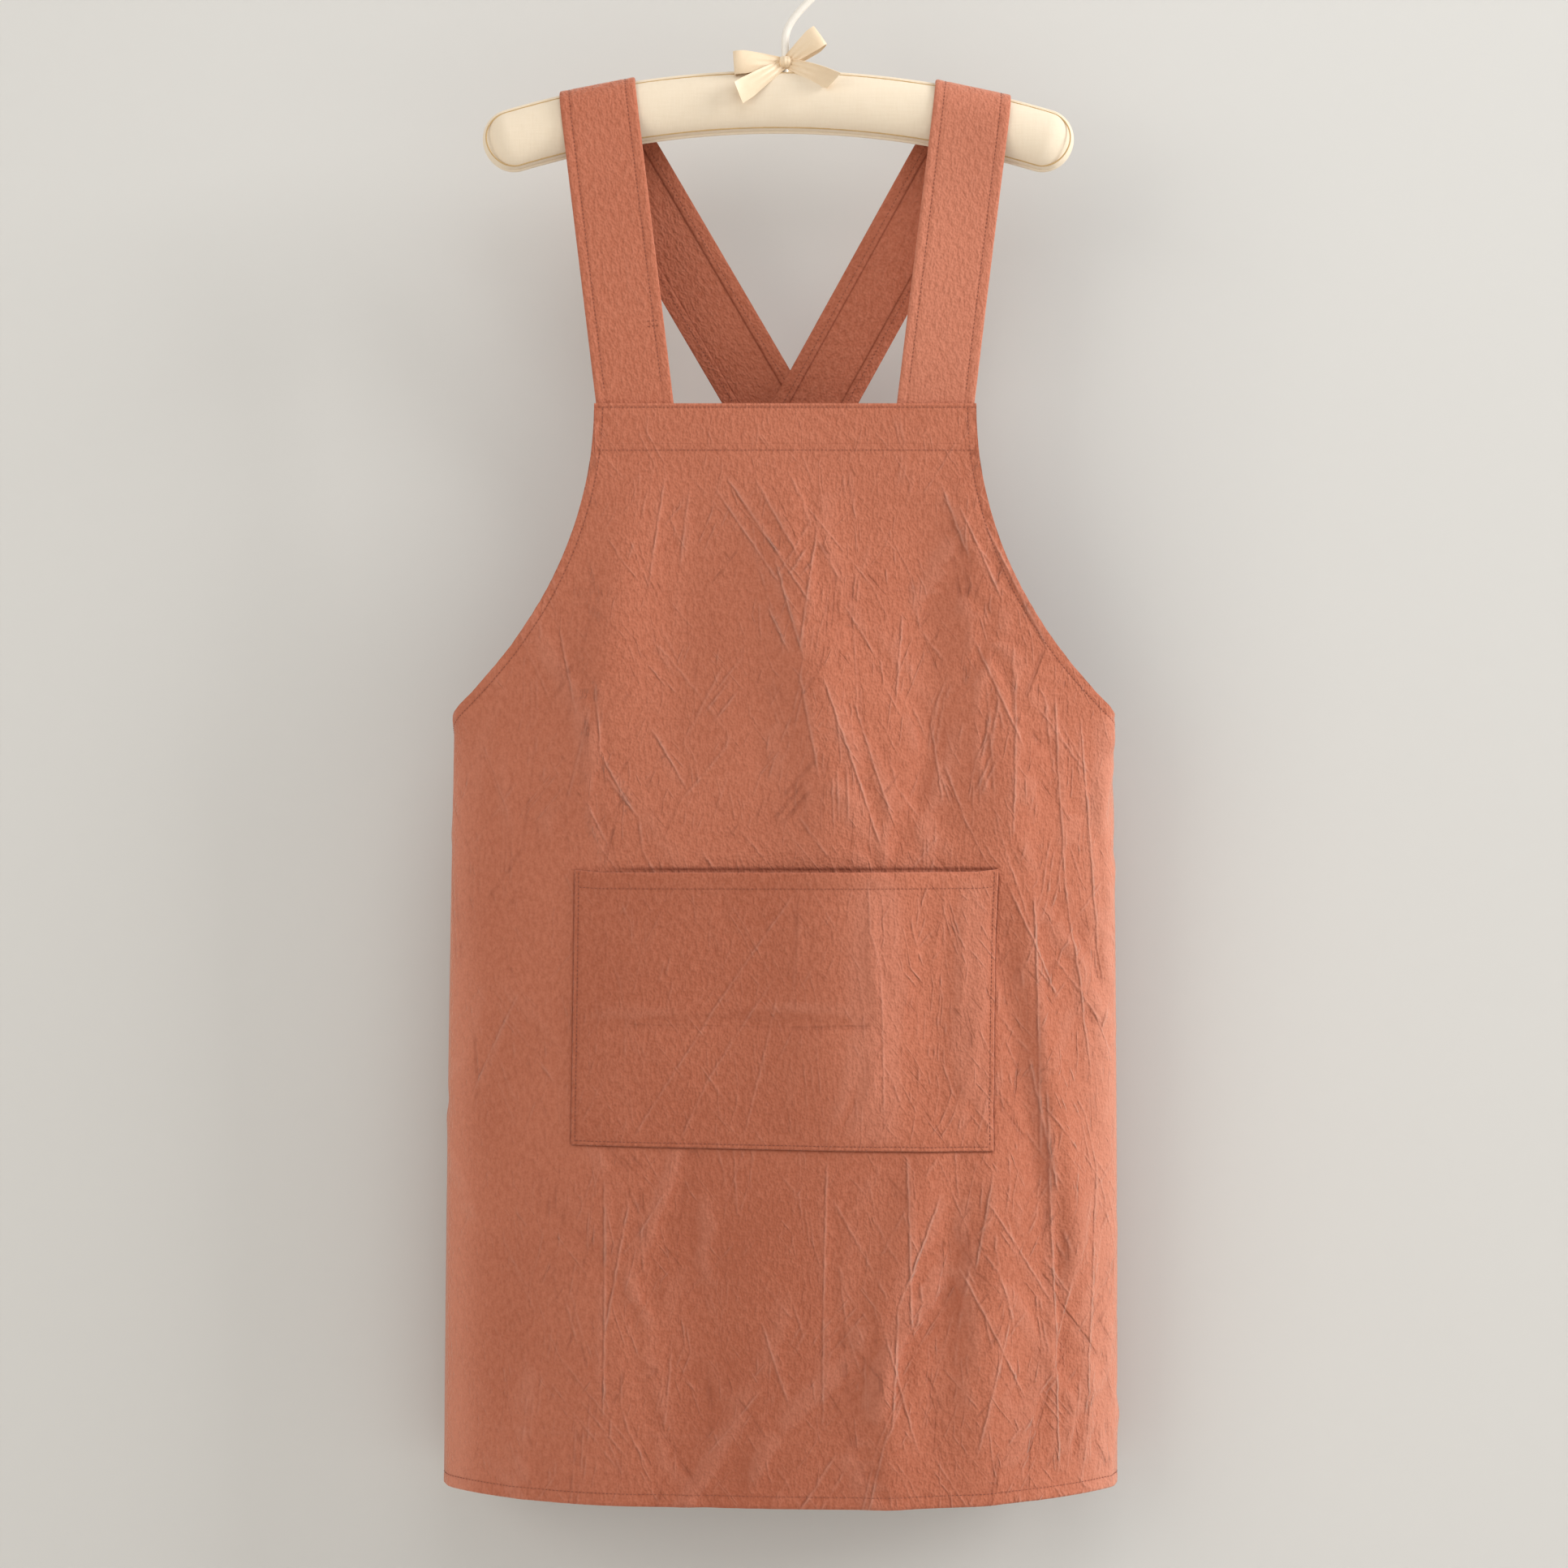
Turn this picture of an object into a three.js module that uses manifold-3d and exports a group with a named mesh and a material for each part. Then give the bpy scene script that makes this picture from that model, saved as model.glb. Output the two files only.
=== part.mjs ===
// A cross-back work apron of washed linen, hanging on a padded hanger.
// Millimetres, +Z up, the apron's front towards -Y and its centre line at x = 0.
// The origin is the hook's bight, where a rail carries the hanger.

import * as THREE from 'three';
import { mergeVertices } from 'three/addons/utils/BufferGeometryUtils.js';
import Module from 'manifold-3d';

const wasm = await Module();
wasm.setup();

// Cloth and clearances
const CLOTH = 1.2;
const GAP = 0.3;
const POCKET_GAP = 0.6;

// The apron's cut: across is measured from the centre line, down from the bib's top edge.
// The skirt hangs a little to the left as it goes down
const BIB = { top: -299, front: -18, halfWidth: 122.5, band: 29.5 };
const CUT = { length: 708, halfWidth: 362, armholeEnd: 240 };
const HANG_LEAN = -0.0045;
const ARMHOLE = new THREE.CubicBezierCurve(
  new THREE.Vector2(BIB.halfWidth, 0),
  new THREE.Vector2(122, 140),
  new THREE.Vector2(242, 248),
  new THREE.Vector2(CUT.halfWidth, CUT.armholeEnd),
);

// How the cloth turns towards the back at three heights: it bends slowly up to the side fold,
// rolls round the fold and runs on flat as a wing
const DRAPE = [
  { down: 0, foldAt: 212.4, frontTurn: 0, foldRadius: 27, wingTurn: 180 },
  { down: 210, foldAt: 212.4, frontTurn: 28.6, foldRadius: 18, wingTurn: 180 },
  { down: 708, foldAt: 226.8, frontTurn: 42.4, foldRadius: 26, wingTurn: 172 },
];

// Soft folds of the front: each crest or hollow runs from its top to its foot
const FOLD_FADE = 0.8;
const SOFT_FOLDS = [
  { topAcross: 8, topDown: 62, footAcross: 36, footDown: 300, width: 26, height: 4 },
  { topAcross: 90, topDown: 70, footAcross: 98, footDown: 300, width: 22, height: -3.5 },
  { topAcross: 146, topDown: 175, footAcross: 143, footDown: 330, width: 18, height: 3 },
  { topAcross: -84, topDown: 40, footAcross: -124, footDown: 285, width: 15, height: 1.8 },
  { topAcross: -56, topDown: 36, footAcross: -72, footDown: 240, width: 18, height: -1.8 },
  { topAcross: 176, topDown: 320, footAcross: 180, footDown: 520, width: 15, height: 3 },
  { topAcross: 82, topDown: 470, footAcross: 54, footDown: 660, width: 14, height: 3 },
  { topAcross: 106, topDown: 480, footAcross: 92, footDown: 680, width: 14, height: -2.6 },
  { topAcross: 134, topDown: 460, footAcross: 128, footDown: 708, width: 18, height: 3.4 },
  { topAcross: -120, topDown: 420, footAcross: -112, footDown: 700, width: 26, height: 1.6 },
];

// Patch pocket: its corners on the cloth, and how far the mouth stands open
const POCKET = {
  corners: [
    { side: 'left', topAcross: -134.3, topDown: 299.2, footAcross: -136, footDown: 476 },
    { side: 'right', topAcross: 138.5, topDown: 298.7, footAcross: 135.7, footDown: 480 },
  ],
  mouthOpen: 9,
  bowFade: 1.3,
};

// Straps: sewn behind the bib, laid over the arm, crossed behind and sewn inside the far wing
const STRAP = {
  width: 49.5,
  bibAcross: 96.5,
  tuck: 28,
  armAcross: 119,
  armDrift: 2.5,
  crossing: -321,
  crossingAcross: 4,
  crossingApart: 0.8,
  wingDown: 225,
  endDown: 264,
};

const STRAP_FRONT = BIB.front + 2 * CLOTH + GAP;

// Padded hanger: an arched arm with a rounded section, and a wire hook
const ARM = {
  top: -81.5,
  shift: -4.5,
  halfLength: 190,
  halfHeight: 20.5,
  halfDepth: 13.5,
  arch: 600,
  endRound: 19,
};
const HOOK = { wire: 5, bend: 22.6, seat: 13, neck: -62, neckPull: 10, bendStart: -45, sweep: 245 };

// Ribbon bow: loops and tails leave the knot at an angle from +X in the front view
const BOW = {
  knotHeight: 9,
  knotRadius: 6.2,
  knotRound: 1.5,
  ribbon: 12.6,
  pinched: 6,
  spread: 1.6,
  thick: 1,
  loopDepth: 3.2,
};
const BOW_RIBBONS = [
  { kind: 'loop', reach: 33.6, angle: 180, forward: 10 },
  { kind: 'loop', reach: 29, angle: 38, forward: 7 },
  { kind: 'tail', reach: 39, angle: 219, forward: 13.5 },
  { kind: 'tail', reach: 35, angle: -19, forward: 13.5 },
];

const FINISHES = {
  linen: { color: 0xba7058, roughness: 0.9, metalness: 0 },
  hangerCloth: { color: 0xefddc7, roughness: 0.8, metalness: 0 },
  hookPaint: { color: 0xf1efeb, roughness: 0.35, metalness: 0 },
  ribbon: { color: 0xd9c3a2, roughness: 0.45, metalness: 0 },
};

const lerp = THREE.MathUtils.lerp;
const radians = THREE.MathUtils.degToRad;

// Turns a list of points and triangles into a closed body whose faces point outwards
function closedBody(points, triangles) {
  const volume = triangles.reduce((sum, [a, b, c]) => {
    const normal = new THREE.Vector3().crossVectors(points[b], points[c]);
    return sum + points[a].dot(normal);
  }, 0);
  const facing = volume < 0 ? triangles.map(([a, b, c]) => [a, c, b]) : triangles;
  const geometry = new THREE.BufferGeometry().setFromPoints(points);
  geometry.setIndex(facing.flat());
  geometry.computeVertexNormals();
  return geometry;
}

// A cloth wall over a grid: outer and inner give its two faces, and rims close its four edges
function clothWall(columns, rows, outer, inner) {
  const points = [];
  for (const face of [outer, inner]) {
    for (let row = 0; row <= rows; row += 1) {
      for (let column = 0; column <= columns; column += 1) {
        points.push(face(column, row));
      }
    }
  }
  const innerStart = (columns + 1) * (rows + 1);
  const at = (column, row) => row * (columns + 1) + column;
  const triangles = [];
  const quad = (a, b, c, d) => triangles.push([a, b, c], [a, c, d]);
  for (let row = 0; row < rows; row += 1) {
    for (let column = 0; column < columns; column += 1) {
      const corners = [at(column, row), at(column, row + 1), at(column + 1, row + 1), at(column + 1, row)];
      quad(...corners);
      quad(...corners.map((corner) => corner + innerStart).reverse());
    }
  }
  const rim = (from, to) => quad(from, to, to + innerStart, from + innerStart);
  for (let column = 0; column < columns; column += 1) {
    rim(at(column, 0), at(column + 1, 0));
    rim(at(column + 1, rows), at(column, rows));
  }
  for (let row = 0; row < rows; row += 1) {
    rim(at(0, row + 1), at(0, row));
    rim(at(columns, row), at(columns, row + 1));
  }
  return closedBody(points, triangles);
}

// A solid through closed rings of points, finished with a point at each end
function loft(rings, firstTip, lastTip) {
  const sides = rings[0].length;
  const points = [...rings.flat(), firstTip, lastTip];
  const tips = [points.length - 2, points.length - 1];
  const triangles = [];
  for (let side = 0; side < sides; side += 1) {
    const next = (side + 1) % sides;
    for (let ring = 0; ring + 1 < rings.length; ring += 1) {
      const here = ring * sides;
      const there = here + sides;
      triangles.push([here + side, here + next, there + next], [here + side, there + next, there + side]);
    }
    const last = (rings.length - 1) * sides;
    triangles.push([tips[0], next, side], [tips[1], last + side, last + next]);
  }
  return closedBody(points, triangles);
}

// Joins and cuts go through solids with shared vertices
function toSolid(geometry) {
  const bare = geometry.clone();
  for (const name of Object.keys(bare.attributes)) {
    if (name !== 'position') bare.deleteAttribute(name);
  }
  const merged = mergeVertices(bare, 1e-4);
  const vertProperties = new Float32Array(merged.attributes.position.array);
  const triVerts = new Uint32Array(merged.index.array);
  return new wasm.Manifold(new wasm.Mesh({ numProp: 3, vertProperties, triVerts }));
}

function fromSolid(solid) {
  const { vertProperties, triVerts } = solid.getMesh();
  const geometry = new THREE.BufferGeometry();
  geometry.setAttribute('position', new THREE.BufferAttribute(vertProperties, 3));
  geometry.setIndex(new THREE.BufferAttribute(triVerts, 1));
  geometry.computeVertexNormals();
  return geometry;
}

// The drape's sizes at a height, between the two rows around it
function drapeAt(down) {
  const below = Math.max(1, DRAPE.findIndex((row) => row.down >= down));
  const [upper, lower] = [DRAPE[below - 1], DRAPE[below]];
  const part = (down - upper.down) / (lower.down - upper.down);
  return {
    foldAt: lerp(upper.foldAt, lower.foldAt, part),
    frontTurn: radians(lerp(upper.frontTurn, lower.frontTurn, part)),
    foldRadius: lerp(upper.foldRadius, lower.foldRadius, part),
    wingTurn: radians(lerp(upper.wingTurn, lower.wingTurn, part)),
  };
}

// Where a point of the cut lies in plan at its height. The front's heading grows with the square
// of the distance, which makes an Euler spiral, and its first series terms are summed here
function section(across, down) {
  const { foldAt, frontTurn, foldRadius, wingTurn } = drapeAt(down);
  const front = Math.min(across, foldAt);
  const bend = frontTurn * (front / foldAt) ** 2;
  const turned = Math.min(Math.max(across - foldAt, 0) / foldRadius, wingTurn - frontTurn);
  const heading = bend + turned;
  const flat = Math.max(across - foldAt - turned * foldRadius, 0);
  const roll = across > foldAt ? foldRadius : 0;
  return {
    heading,
    x: front * (1 - bend ** 2 / 10 + bend ** 4 / 216)
      + roll * (Math.sin(heading) - Math.sin(bend)) + flat * Math.cos(heading),
    y: front * (bend / 3 - bend ** 3 / 42)
      + roll * (Math.cos(bend) - Math.cos(heading)) + flat * Math.sin(heading),
  };
}

// How far the soft folds lift the cloth, fading out at the ends of each fold
function softFolds(across, down) {
  return SOFT_FOLDS.reduce((lift, fold) => {
    const along = (down - fold.topDown) / (fold.footDown - fold.topDown);
    if (along <= 0 || along >= 1) return lift;
    const crest = lerp(fold.topAcross, fold.footAcross, along);
    const profile = Math.exp(-(((across - crest) / fold.width) ** 2));
    return lift + fold.height * profile * Math.sin(Math.PI * along) ** FOLD_FADE;
  }, 0);
}

// A point of the hanging cloth, lifted outwards from its middle
function onCloth(across, down, lift = 0) {
  const side = Math.sign(across) || 1;
  const plan = section(Math.abs(across), down);
  const out = lift + softFolds(across, down);
  return new THREE.Vector3(
    side * (plan.x + out * Math.sin(plan.heading)) + HANG_LEAN * down,
    BIB.front + plan.y - out * Math.cos(plan.heading),
    BIB.top - down,
  );
}

// Depth of a wing's middle at a place beside its back edge
function wingDepth(x, down) {
  const edge = section(CUT.halfWidth, down);
  const { wingTurn } = drapeAt(down);
  return BIB.front + edge.y + (Math.abs(x) - edge.x) * Math.tan(wingTurn);
}

// Apron body: columns run from the bib's top and the armholes straight down to the hem
function apronBody() {
  const bibColumns = 8;
  const armholeColumns = 20;
  const half = bibColumns + armholeColumns;
  const step = 0.6;
  const downRows = CUT.length / BIB.band;
  const rowParts = [0, BIB.band / CUT.length, (BIB.band + step) / CUT.length];
  for (let row = 2; row <= downRows; row += 1) rowParts.push(row / downRows);

  const cutPoint = (column, row) => {
    const count = Math.abs(column - half);
    const side = column < half ? -1 : 1;
    const onBib = count <= bibColumns;
    const top = onBib
      ? new THREE.Vector2((BIB.halfWidth * count) / bibColumns, 0)
      : ARMHOLE.getPoint((count - bibColumns) / armholeColumns);
    const hem = new THREE.Vector2((CUT.halfWidth * count) / half, CUT.length);
    const place = top.lerp(hem, rowParts[row]);
    return { across: side * place.x, down: place.y, doubled: onBib && row < 2 };
  };
  const outer = (column, row) => {
    const { across, down } = cutPoint(column, row);
    return onCloth(across, down, CLOTH / 2);
  };
  const inner = (column, row) => {
    const { across, down, doubled } = cutPoint(column, row);
    return onCloth(across, down, doubled ? -CLOTH * 1.5 : -CLOTH / 2);
  };
  return clothWall(half * 2, rowParts.length - 1, outer, inner);
}

// Pocket: a panel lying on the front, bowed away from it towards the mouth
function pocket() {
  const columns = 16;
  const rows = 8;
  const [left, right] = POCKET.corners;
  const face = (lift) => (column, row) => {
    const part = column / columns;
    const drop = row / rows;
    const leftAcross = lerp(left.topAcross, left.footAcross, drop);
    const rightAcross = lerp(right.topAcross, right.footAcross, drop);
    const across = lerp(leftAcross, rightAcross, part);
    const leftDown = lerp(left.topDown, left.footDown, drop);
    const rightDown = lerp(right.topDown, right.footDown, drop);
    const down = lerp(leftDown, rightDown, part);
    const open = POCKET.mouthOpen * Math.sin(Math.PI * part) * (1 - drop) ** POCKET.bowFade;
    return onCloth(across, down, lift + open);
  };
  const innerLift = CLOTH / 2 + POCKET_GAP;
  return clothWall(columns, rows, face(innerLift + CLOTH), face(innerLift));
}

// Height of the arm's centre line and its slope at a distance from the apron's centre line
function armMiddle(x) {
  const away = x - ARM.shift;
  return ARM.top - ARM.halfHeight - ARM.arch + Math.sqrt(ARM.arch ** 2 - away ** 2);
}

function armSlope(x) {
  return Math.asin(Math.abs(x - ARM.shift) / ARM.arch);
}

// Depth of the straps behind: they lean back from the arm to the wings, the right one in front
// of the left where they cross
function strapBackDepth(side, z) {
  const armZ = armMiddle(0);
  const wingZ = BIB.top - STRAP.wingDown;
  const part = THREE.MathUtils.clamp((armZ - z) / (armZ - wingZ), 0, 1);
  const wingY = wingDepth(STRAP.armAcross, STRAP.wingDown) - CLOTH - GAP;
  return lerp(-STRAP_FRONT, wingY, part) - side * STRAP.crossingApart * Math.sin(Math.PI * part);
}

// The strap's stations from the bib over the arm to the far wing: the middle of its width,
// how far its width leans, and what it lies on. Side is 1 for the right strap
function strapStations(side) {
  const armZ = armMiddle(side * STRAP.armAcross);
  const bibLean = Math.atan((STRAP.armAcross - STRAP.bibAcross) / (armZ - BIB.top));
  const slope = armSlope(side * (STRAP.armAcross + STRAP.armDrift));
  const over = (ARM.halfHeight + GAP + CLOTH / 2) / Math.cos(slope);
  const backLean = Math.atan((STRAP.armAcross - side * STRAP.crossingAcross) / (armZ - STRAP.crossing));
  const stations = [];

  const legRows = 6;
  const tuckX = STRAP.bibAcross - STRAP.tuck * Math.tan(bibLean);
  stations.push({ x: tuckX, y: STRAP_FRONT, z: BIB.top - STRAP.tuck, lean: bibLean, on: 'bib' });
  for (let row = 0; row <= legRows; row += 1) {
    const part = row / legRows;
    const x = lerp(STRAP.bibAcross, STRAP.armAcross, part);
    stations.push({ x, y: STRAP_FRONT, z: lerp(BIB.top, armZ, part), lean: bibLean, on: 'air' });
  }

  const overRows = 10;
  for (let row = 1; row <= overRows; row += 1) {
    const turn = (Math.PI * row) / overRows;
    const rising = row <= overRows / 2;
    const lean = rising
      ? lerp(bibLean, slope, (2 * row) / overRows)
      : lerp(slope, lerp(slope, backLean, 0.5), ((2 * row) / overRows - 1) ** 2);
    const x = STRAP.armAcross + STRAP.armDrift * Math.sin(turn);
    stations.push({ x, y: STRAP_FRONT * Math.cos(turn), z: armZ + over * Math.sin(turn), lean, on: 'air' });
  }

  const backRows = 10;
  const wingZ = BIB.top - STRAP.wingDown;
  const backX = (z) => STRAP.armAcross - Math.tan(backLean) * (armZ - z);
  for (let row = 1; row <= backRows; row += 1) {
    const z = lerp(armZ, wingZ, row / backRows);
    const lean = row === 1 ? lerp(slope, backLean, 0.8) : backLean;
    const on = row === backRows ? 'wing' : 'back';
    stations.push({ x: backX(z), y: strapBackDepth(side, z), z, lean, on });
  }
  for (const down of [lerp(STRAP.wingDown, STRAP.endDown, 0.5), STRAP.endDown]) {
    const z = BIB.top - down;
    stations.push({ x: backX(z), y: strapBackDepth(side, z), z, lean: backLean, on: 'wing' });
  }
  return stations;
}

// Strap: a flat cloth wall carried along its stations
function strap(side) {
  const columns = 4;
  const stations = strapStations(side);
  const middles = stations.map(({ x, y, z }) => new THREE.Vector3(x, y, z));
  const face = (lift) => (column, row) => {
    const { lean, on } = stations[row];
    const before = middles[Math.max(row - 1, 0)];
    const after = middles[Math.min(row + 1, middles.length - 1)];
    const wide = new THREE.Vector3(Math.cos(lean), 0, -Math.sin(lean));
    const inward = after.clone().sub(before).cross(wide).normalize();
    const point = middles[row].clone().addScaledVector(wide, STRAP.width * (column / columns - 0.5));
    if (on === 'bib') {
      point.y = onCloth(point.x, BIB.top - point.z).y + 2 * CLOTH + GAP + lift;
    } else if (on === 'back') {
      point.y = strapBackDepth(side, point.z) - lift;
    } else if (on === 'wing') {
      point.y = wingDepth(point.x, BIB.top - point.z) - CLOTH - GAP - lift;
    } else {
      point.addScaledVector(inward, lift);
    }
    point.x *= side;
    return point;
  };
  return clothWall(columns, stations.length - 1, face(-CLOTH / 2), face(CLOTH / 2));
}

// Padded arm: oval rings along the arch, closing in at the rounded ends, with a socket for the hook
function hangerArm() {
  const ringCount = 30;
  const closerAtEnds = 0.6;
  const sides = 18;
  const reach = Math.asin(ARM.halfLength / ARM.arch);
  const endPart = ARM.endRound / ARM.halfLength;
  const archCentre = ARM.top - ARM.halfHeight - ARM.arch;
  const pointAt = (part, outwards, depth) => {
    const angle = part * reach;
    const radius = ARM.arch + outwards;
    const x = ARM.shift + radius * Math.sin(angle);
    return new THREE.Vector3(x, depth, archCentre + radius * Math.cos(angle));
  };
  const rings = [];
  for (let ring = 1; ring < ringCount; ring += 1) {
    const even = (2 * ring) / ringCount - 1;
    const part = lerp(even, Math.sin((Math.PI * even) / 2), closerAtEnds);
    const intoEnd = Math.max(0, (Math.abs(part) - 1 + endPart) / endPart);
    const full = Math.sqrt(1 - intoEnd ** 2);
    const points = [];
    for (let side = 0; side < sides; side += 1) {
      const angle = (2 * Math.PI * side) / sides;
      const outwards = ARM.halfHeight * full * Math.cos(angle);
      points.push(pointAt(part, outwards, ARM.halfDepth * full * Math.sin(angle)));
    }
    rings.push(points);
  }
  const arm = loft(rings, pointAt(-1, 0, 0), pointAt(1, 0, 0));

  const socketRadius = HOOK.wire / 2 + GAP;
  const socketDepth = HOOK.seat + GAP;
  const mouth = 5;
  const socket = new THREE.CylinderGeometry(socketRadius, socketRadius, socketDepth + mouth, 16);
  socket.rotateX(Math.PI / 2);
  socket.translate(0, 0, ARM.top + (mouth - socketDepth) / 2);
  return fromSolid(toSolid(arm).subtract(toSolid(socket)));
}

// Hook: a wire that rises from the arm, leans out to the right and turns over the rail
function hangerHook() {
  const centreZ = HOOK.wire / 2 - HOOK.bend;
  const onBend = (degrees) => new THREE.Vector3(
    HOOK.bend * Math.cos(radians(degrees)),
    0,
    centreZ + HOOK.bend * Math.sin(radians(degrees)),
  );
  const join = onBend(HOOK.bendStart);
  const pull = HOOK.neckPull / Math.SQRT2;
  const neck = new THREE.CubicBezierCurve3(
    new THREE.Vector3(0, 0, HOOK.neck),
    new THREE.Vector3(0, 0, HOOK.neck + HOOK.neckPull),
    join.clone().add(new THREE.Vector3(-pull, 0, -pull)),
    join,
  );
  const seat = new THREE.Vector3(0, 0, ARM.top - HOOK.seat);
  const stem = new THREE.Vector3(0, 0, lerp(ARM.top, HOOK.neck, 0.4));
  const places = [seat, stem, ...neck.getPoints(5)];
  const bendRows = 14;
  for (let row = 1; row <= bendRows; row += 1) {
    places.push(onBend(HOOK.bendStart + (HOOK.sweep * row) / bendRows));
  }
  const wire = new THREE.Shape().absarc(0, 0, HOOK.wire / 2, 0, 2 * Math.PI);
  const extrudePath = new THREE.CatmullRomCurve3(places);
  return new THREE.ExtrudeGeometry(wire, { steps: 44, curveSegments: 5, bevelEnabled: false, extrudePath });
}

// One ribbon of the bow: a loop comes back to the knot, a tail ends at its reach
function bowRibbon({ kind, reach, angle, forward }, knotZ) {
  const columns = 2;
  const rows = kind === 'loop' ? 16 : 6;
  const away = new THREE.Vector3(Math.cos(radians(angle)), 0, Math.sin(radians(angle)));
  const wide = new THREE.Vector3(-away.z, 0, away.x);
  const knotY = -(HOOK.wire / 2 + GAP + BOW.knotRadius) / 2;
  const middle = (row) => {
    const part = row / rows;
    const out = kind === 'loop' ? Math.sin(Math.PI * part) : part;
    const bowed = kind === 'loop' ? BOW.loopDepth * Math.sin(2 * Math.PI * part) : 0;
    const ahead = kind === 'loop' ? forward * out : forward * Math.sqrt(out);
    return new THREE.Vector3(0, knotY - ahead - bowed, knotZ).addScaledVector(away, reach * out);
  };
  const face = (lift) => (column, row) => {
    const here = middle(row);
    const before = middle(Math.max(row - 0.5, 0));
    const after = middle(Math.min(row + 0.5, rows));
    const out = here.clone().sub(middle(0)).dot(away) / reach;
    const width = lerp(BOW.pinched, BOW.ribbon, Math.min(1, out * BOW.spread));
    const normal = after.sub(before).cross(wide).normalize();
    return here.addScaledVector(wide, width * (column / columns - 0.5)).addScaledVector(normal, lift);
  };
  return clothWall(columns, rows, face(-BOW.thick / 2), face(BOW.thick / 2));
}

// Bow: a knot ringed round the hook's stem, fused with its loops and tails
function hangerBow() {
  const knotZ = ARM.top + GAP + BOW.knotHeight / 2;
  const inner = HOOK.wire / 2 + GAP;
  const half = BOW.knotHeight / 2;
  const profile = [
    new THREE.Vector2(inner, -half),
    new THREE.Vector2(BOW.knotRadius - BOW.knotRound, -half),
    new THREE.Vector2(BOW.knotRadius, -half / 2),
    new THREE.Vector2(BOW.knotRadius, half / 2),
    new THREE.Vector2(BOW.knotRadius - BOW.knotRound, half),
    new THREE.Vector2(inner, half),
    new THREE.Vector2(inner, -half),
  ];
  const knot = new THREE.LatheGeometry(profile, 16);
  knot.rotateX(Math.PI / 2);
  knot.translate(0, 0, knotZ);
  const ribbons = BOW_RIBBONS.map((row) => toSolid(bowRibbon(row, knotZ)));
  return fromSolid(ribbons.reduce((bow, ribbon) => bow.add(ribbon), toSolid(knot)));
}

const apron = new THREE.Group();

function addPiece(name, geometry, finish) {
  const piece = new THREE.Mesh(geometry, new THREE.MeshStandardMaterial(FINISHES[finish]));
  piece.name = name;
  apron.add(piece);
}

addPiece('apron_body', apronBody(), 'linen');
addPiece('pocket', pocket(), 'linen');
addPiece('strap_left', strap(-1), 'linen');
addPiece('strap_right', strap(1), 'linen');
addPiece('hanger_arm', hangerArm(), 'hangerCloth');
addPiece('hanger_hook', hangerHook(), 'hookPaint');
addPiece('hanger_bow', hangerBow(), 'ribbon');

export default apron;
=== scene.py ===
import math

import bpy
import numpy as np
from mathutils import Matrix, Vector


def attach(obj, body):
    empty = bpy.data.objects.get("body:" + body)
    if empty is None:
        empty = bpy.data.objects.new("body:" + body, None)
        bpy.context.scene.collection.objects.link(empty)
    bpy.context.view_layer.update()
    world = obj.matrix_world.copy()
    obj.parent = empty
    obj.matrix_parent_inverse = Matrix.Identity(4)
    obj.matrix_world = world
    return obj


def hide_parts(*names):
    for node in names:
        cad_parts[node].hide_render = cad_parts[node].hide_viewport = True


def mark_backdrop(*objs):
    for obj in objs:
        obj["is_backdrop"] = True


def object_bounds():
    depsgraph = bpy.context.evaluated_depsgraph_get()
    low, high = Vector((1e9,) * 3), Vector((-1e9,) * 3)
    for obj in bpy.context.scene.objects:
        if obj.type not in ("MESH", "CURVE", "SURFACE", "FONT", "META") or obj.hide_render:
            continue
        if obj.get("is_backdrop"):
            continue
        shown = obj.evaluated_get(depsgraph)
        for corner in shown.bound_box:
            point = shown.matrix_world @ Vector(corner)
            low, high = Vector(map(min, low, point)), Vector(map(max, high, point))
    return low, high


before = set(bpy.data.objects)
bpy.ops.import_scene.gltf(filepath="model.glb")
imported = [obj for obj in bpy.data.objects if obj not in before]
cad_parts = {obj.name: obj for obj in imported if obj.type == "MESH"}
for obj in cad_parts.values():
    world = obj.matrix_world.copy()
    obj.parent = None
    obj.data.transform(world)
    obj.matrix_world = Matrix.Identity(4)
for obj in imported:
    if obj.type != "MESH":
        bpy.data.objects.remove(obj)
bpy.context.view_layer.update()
bpy.ops.object.select_all(action="DESELECT")


# The view: the apron hangs close before a plain pale wall and is seen square on from the height of
# its skirt. The floor lies below the picture. Wide soft light rakes over it from the right, as from
# a window, with a little from the left and from above, and the room's own light is pale and even.
camera_distance = 1.9
field_width = 1.0143
bpy.ops.object.camera_add(location=(-0.0008, -camera_distance, -0.543), rotation=(math.pi / 2, 0, 0))
camera = bpy.context.object
camera.name = "photo_camera"
camera.data.sensor_width = 36
camera.data.lens = camera.data.sensor_width * camera_distance / field_width
bpy.context.scene.camera = camera
bpy.context.scene.view_settings.view_transform = "Standard"


def wire(node, links):
    """Sets a node's inputs by name or number, each to a socket that is linked or to a plain value."""
    for key, value in links.items():
        if isinstance(value, bpy.types.NodeSocket):
            node.id_data.links.new(value, node.inputs[key])
        else:
            node.inputs[key].default_value = value


def add_node(tree, kind, links=None, **settings):
    made = tree.nodes.new("ShaderNode" + kind)
    for key, value in settings.items():
        setattr(made, key, value)
    wire(made, links or {})
    return made


def noise(tree, place, scale, detail):
    links = {"Vector": place, "Scale": scale, "Detail": detail}
    return add_node(tree, "TexNoise", links).outputs["Fac"]


def object_place(tree):
    return add_node(tree, "TexCoord").outputs["Object"]


def blend(tree, factor, low, high):
    """A colour between two others."""
    return add_node(tree, "Mix", {"Factor": factor, 6: low, 7: high}, data_type="RGBA").outputs[2]


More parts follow.
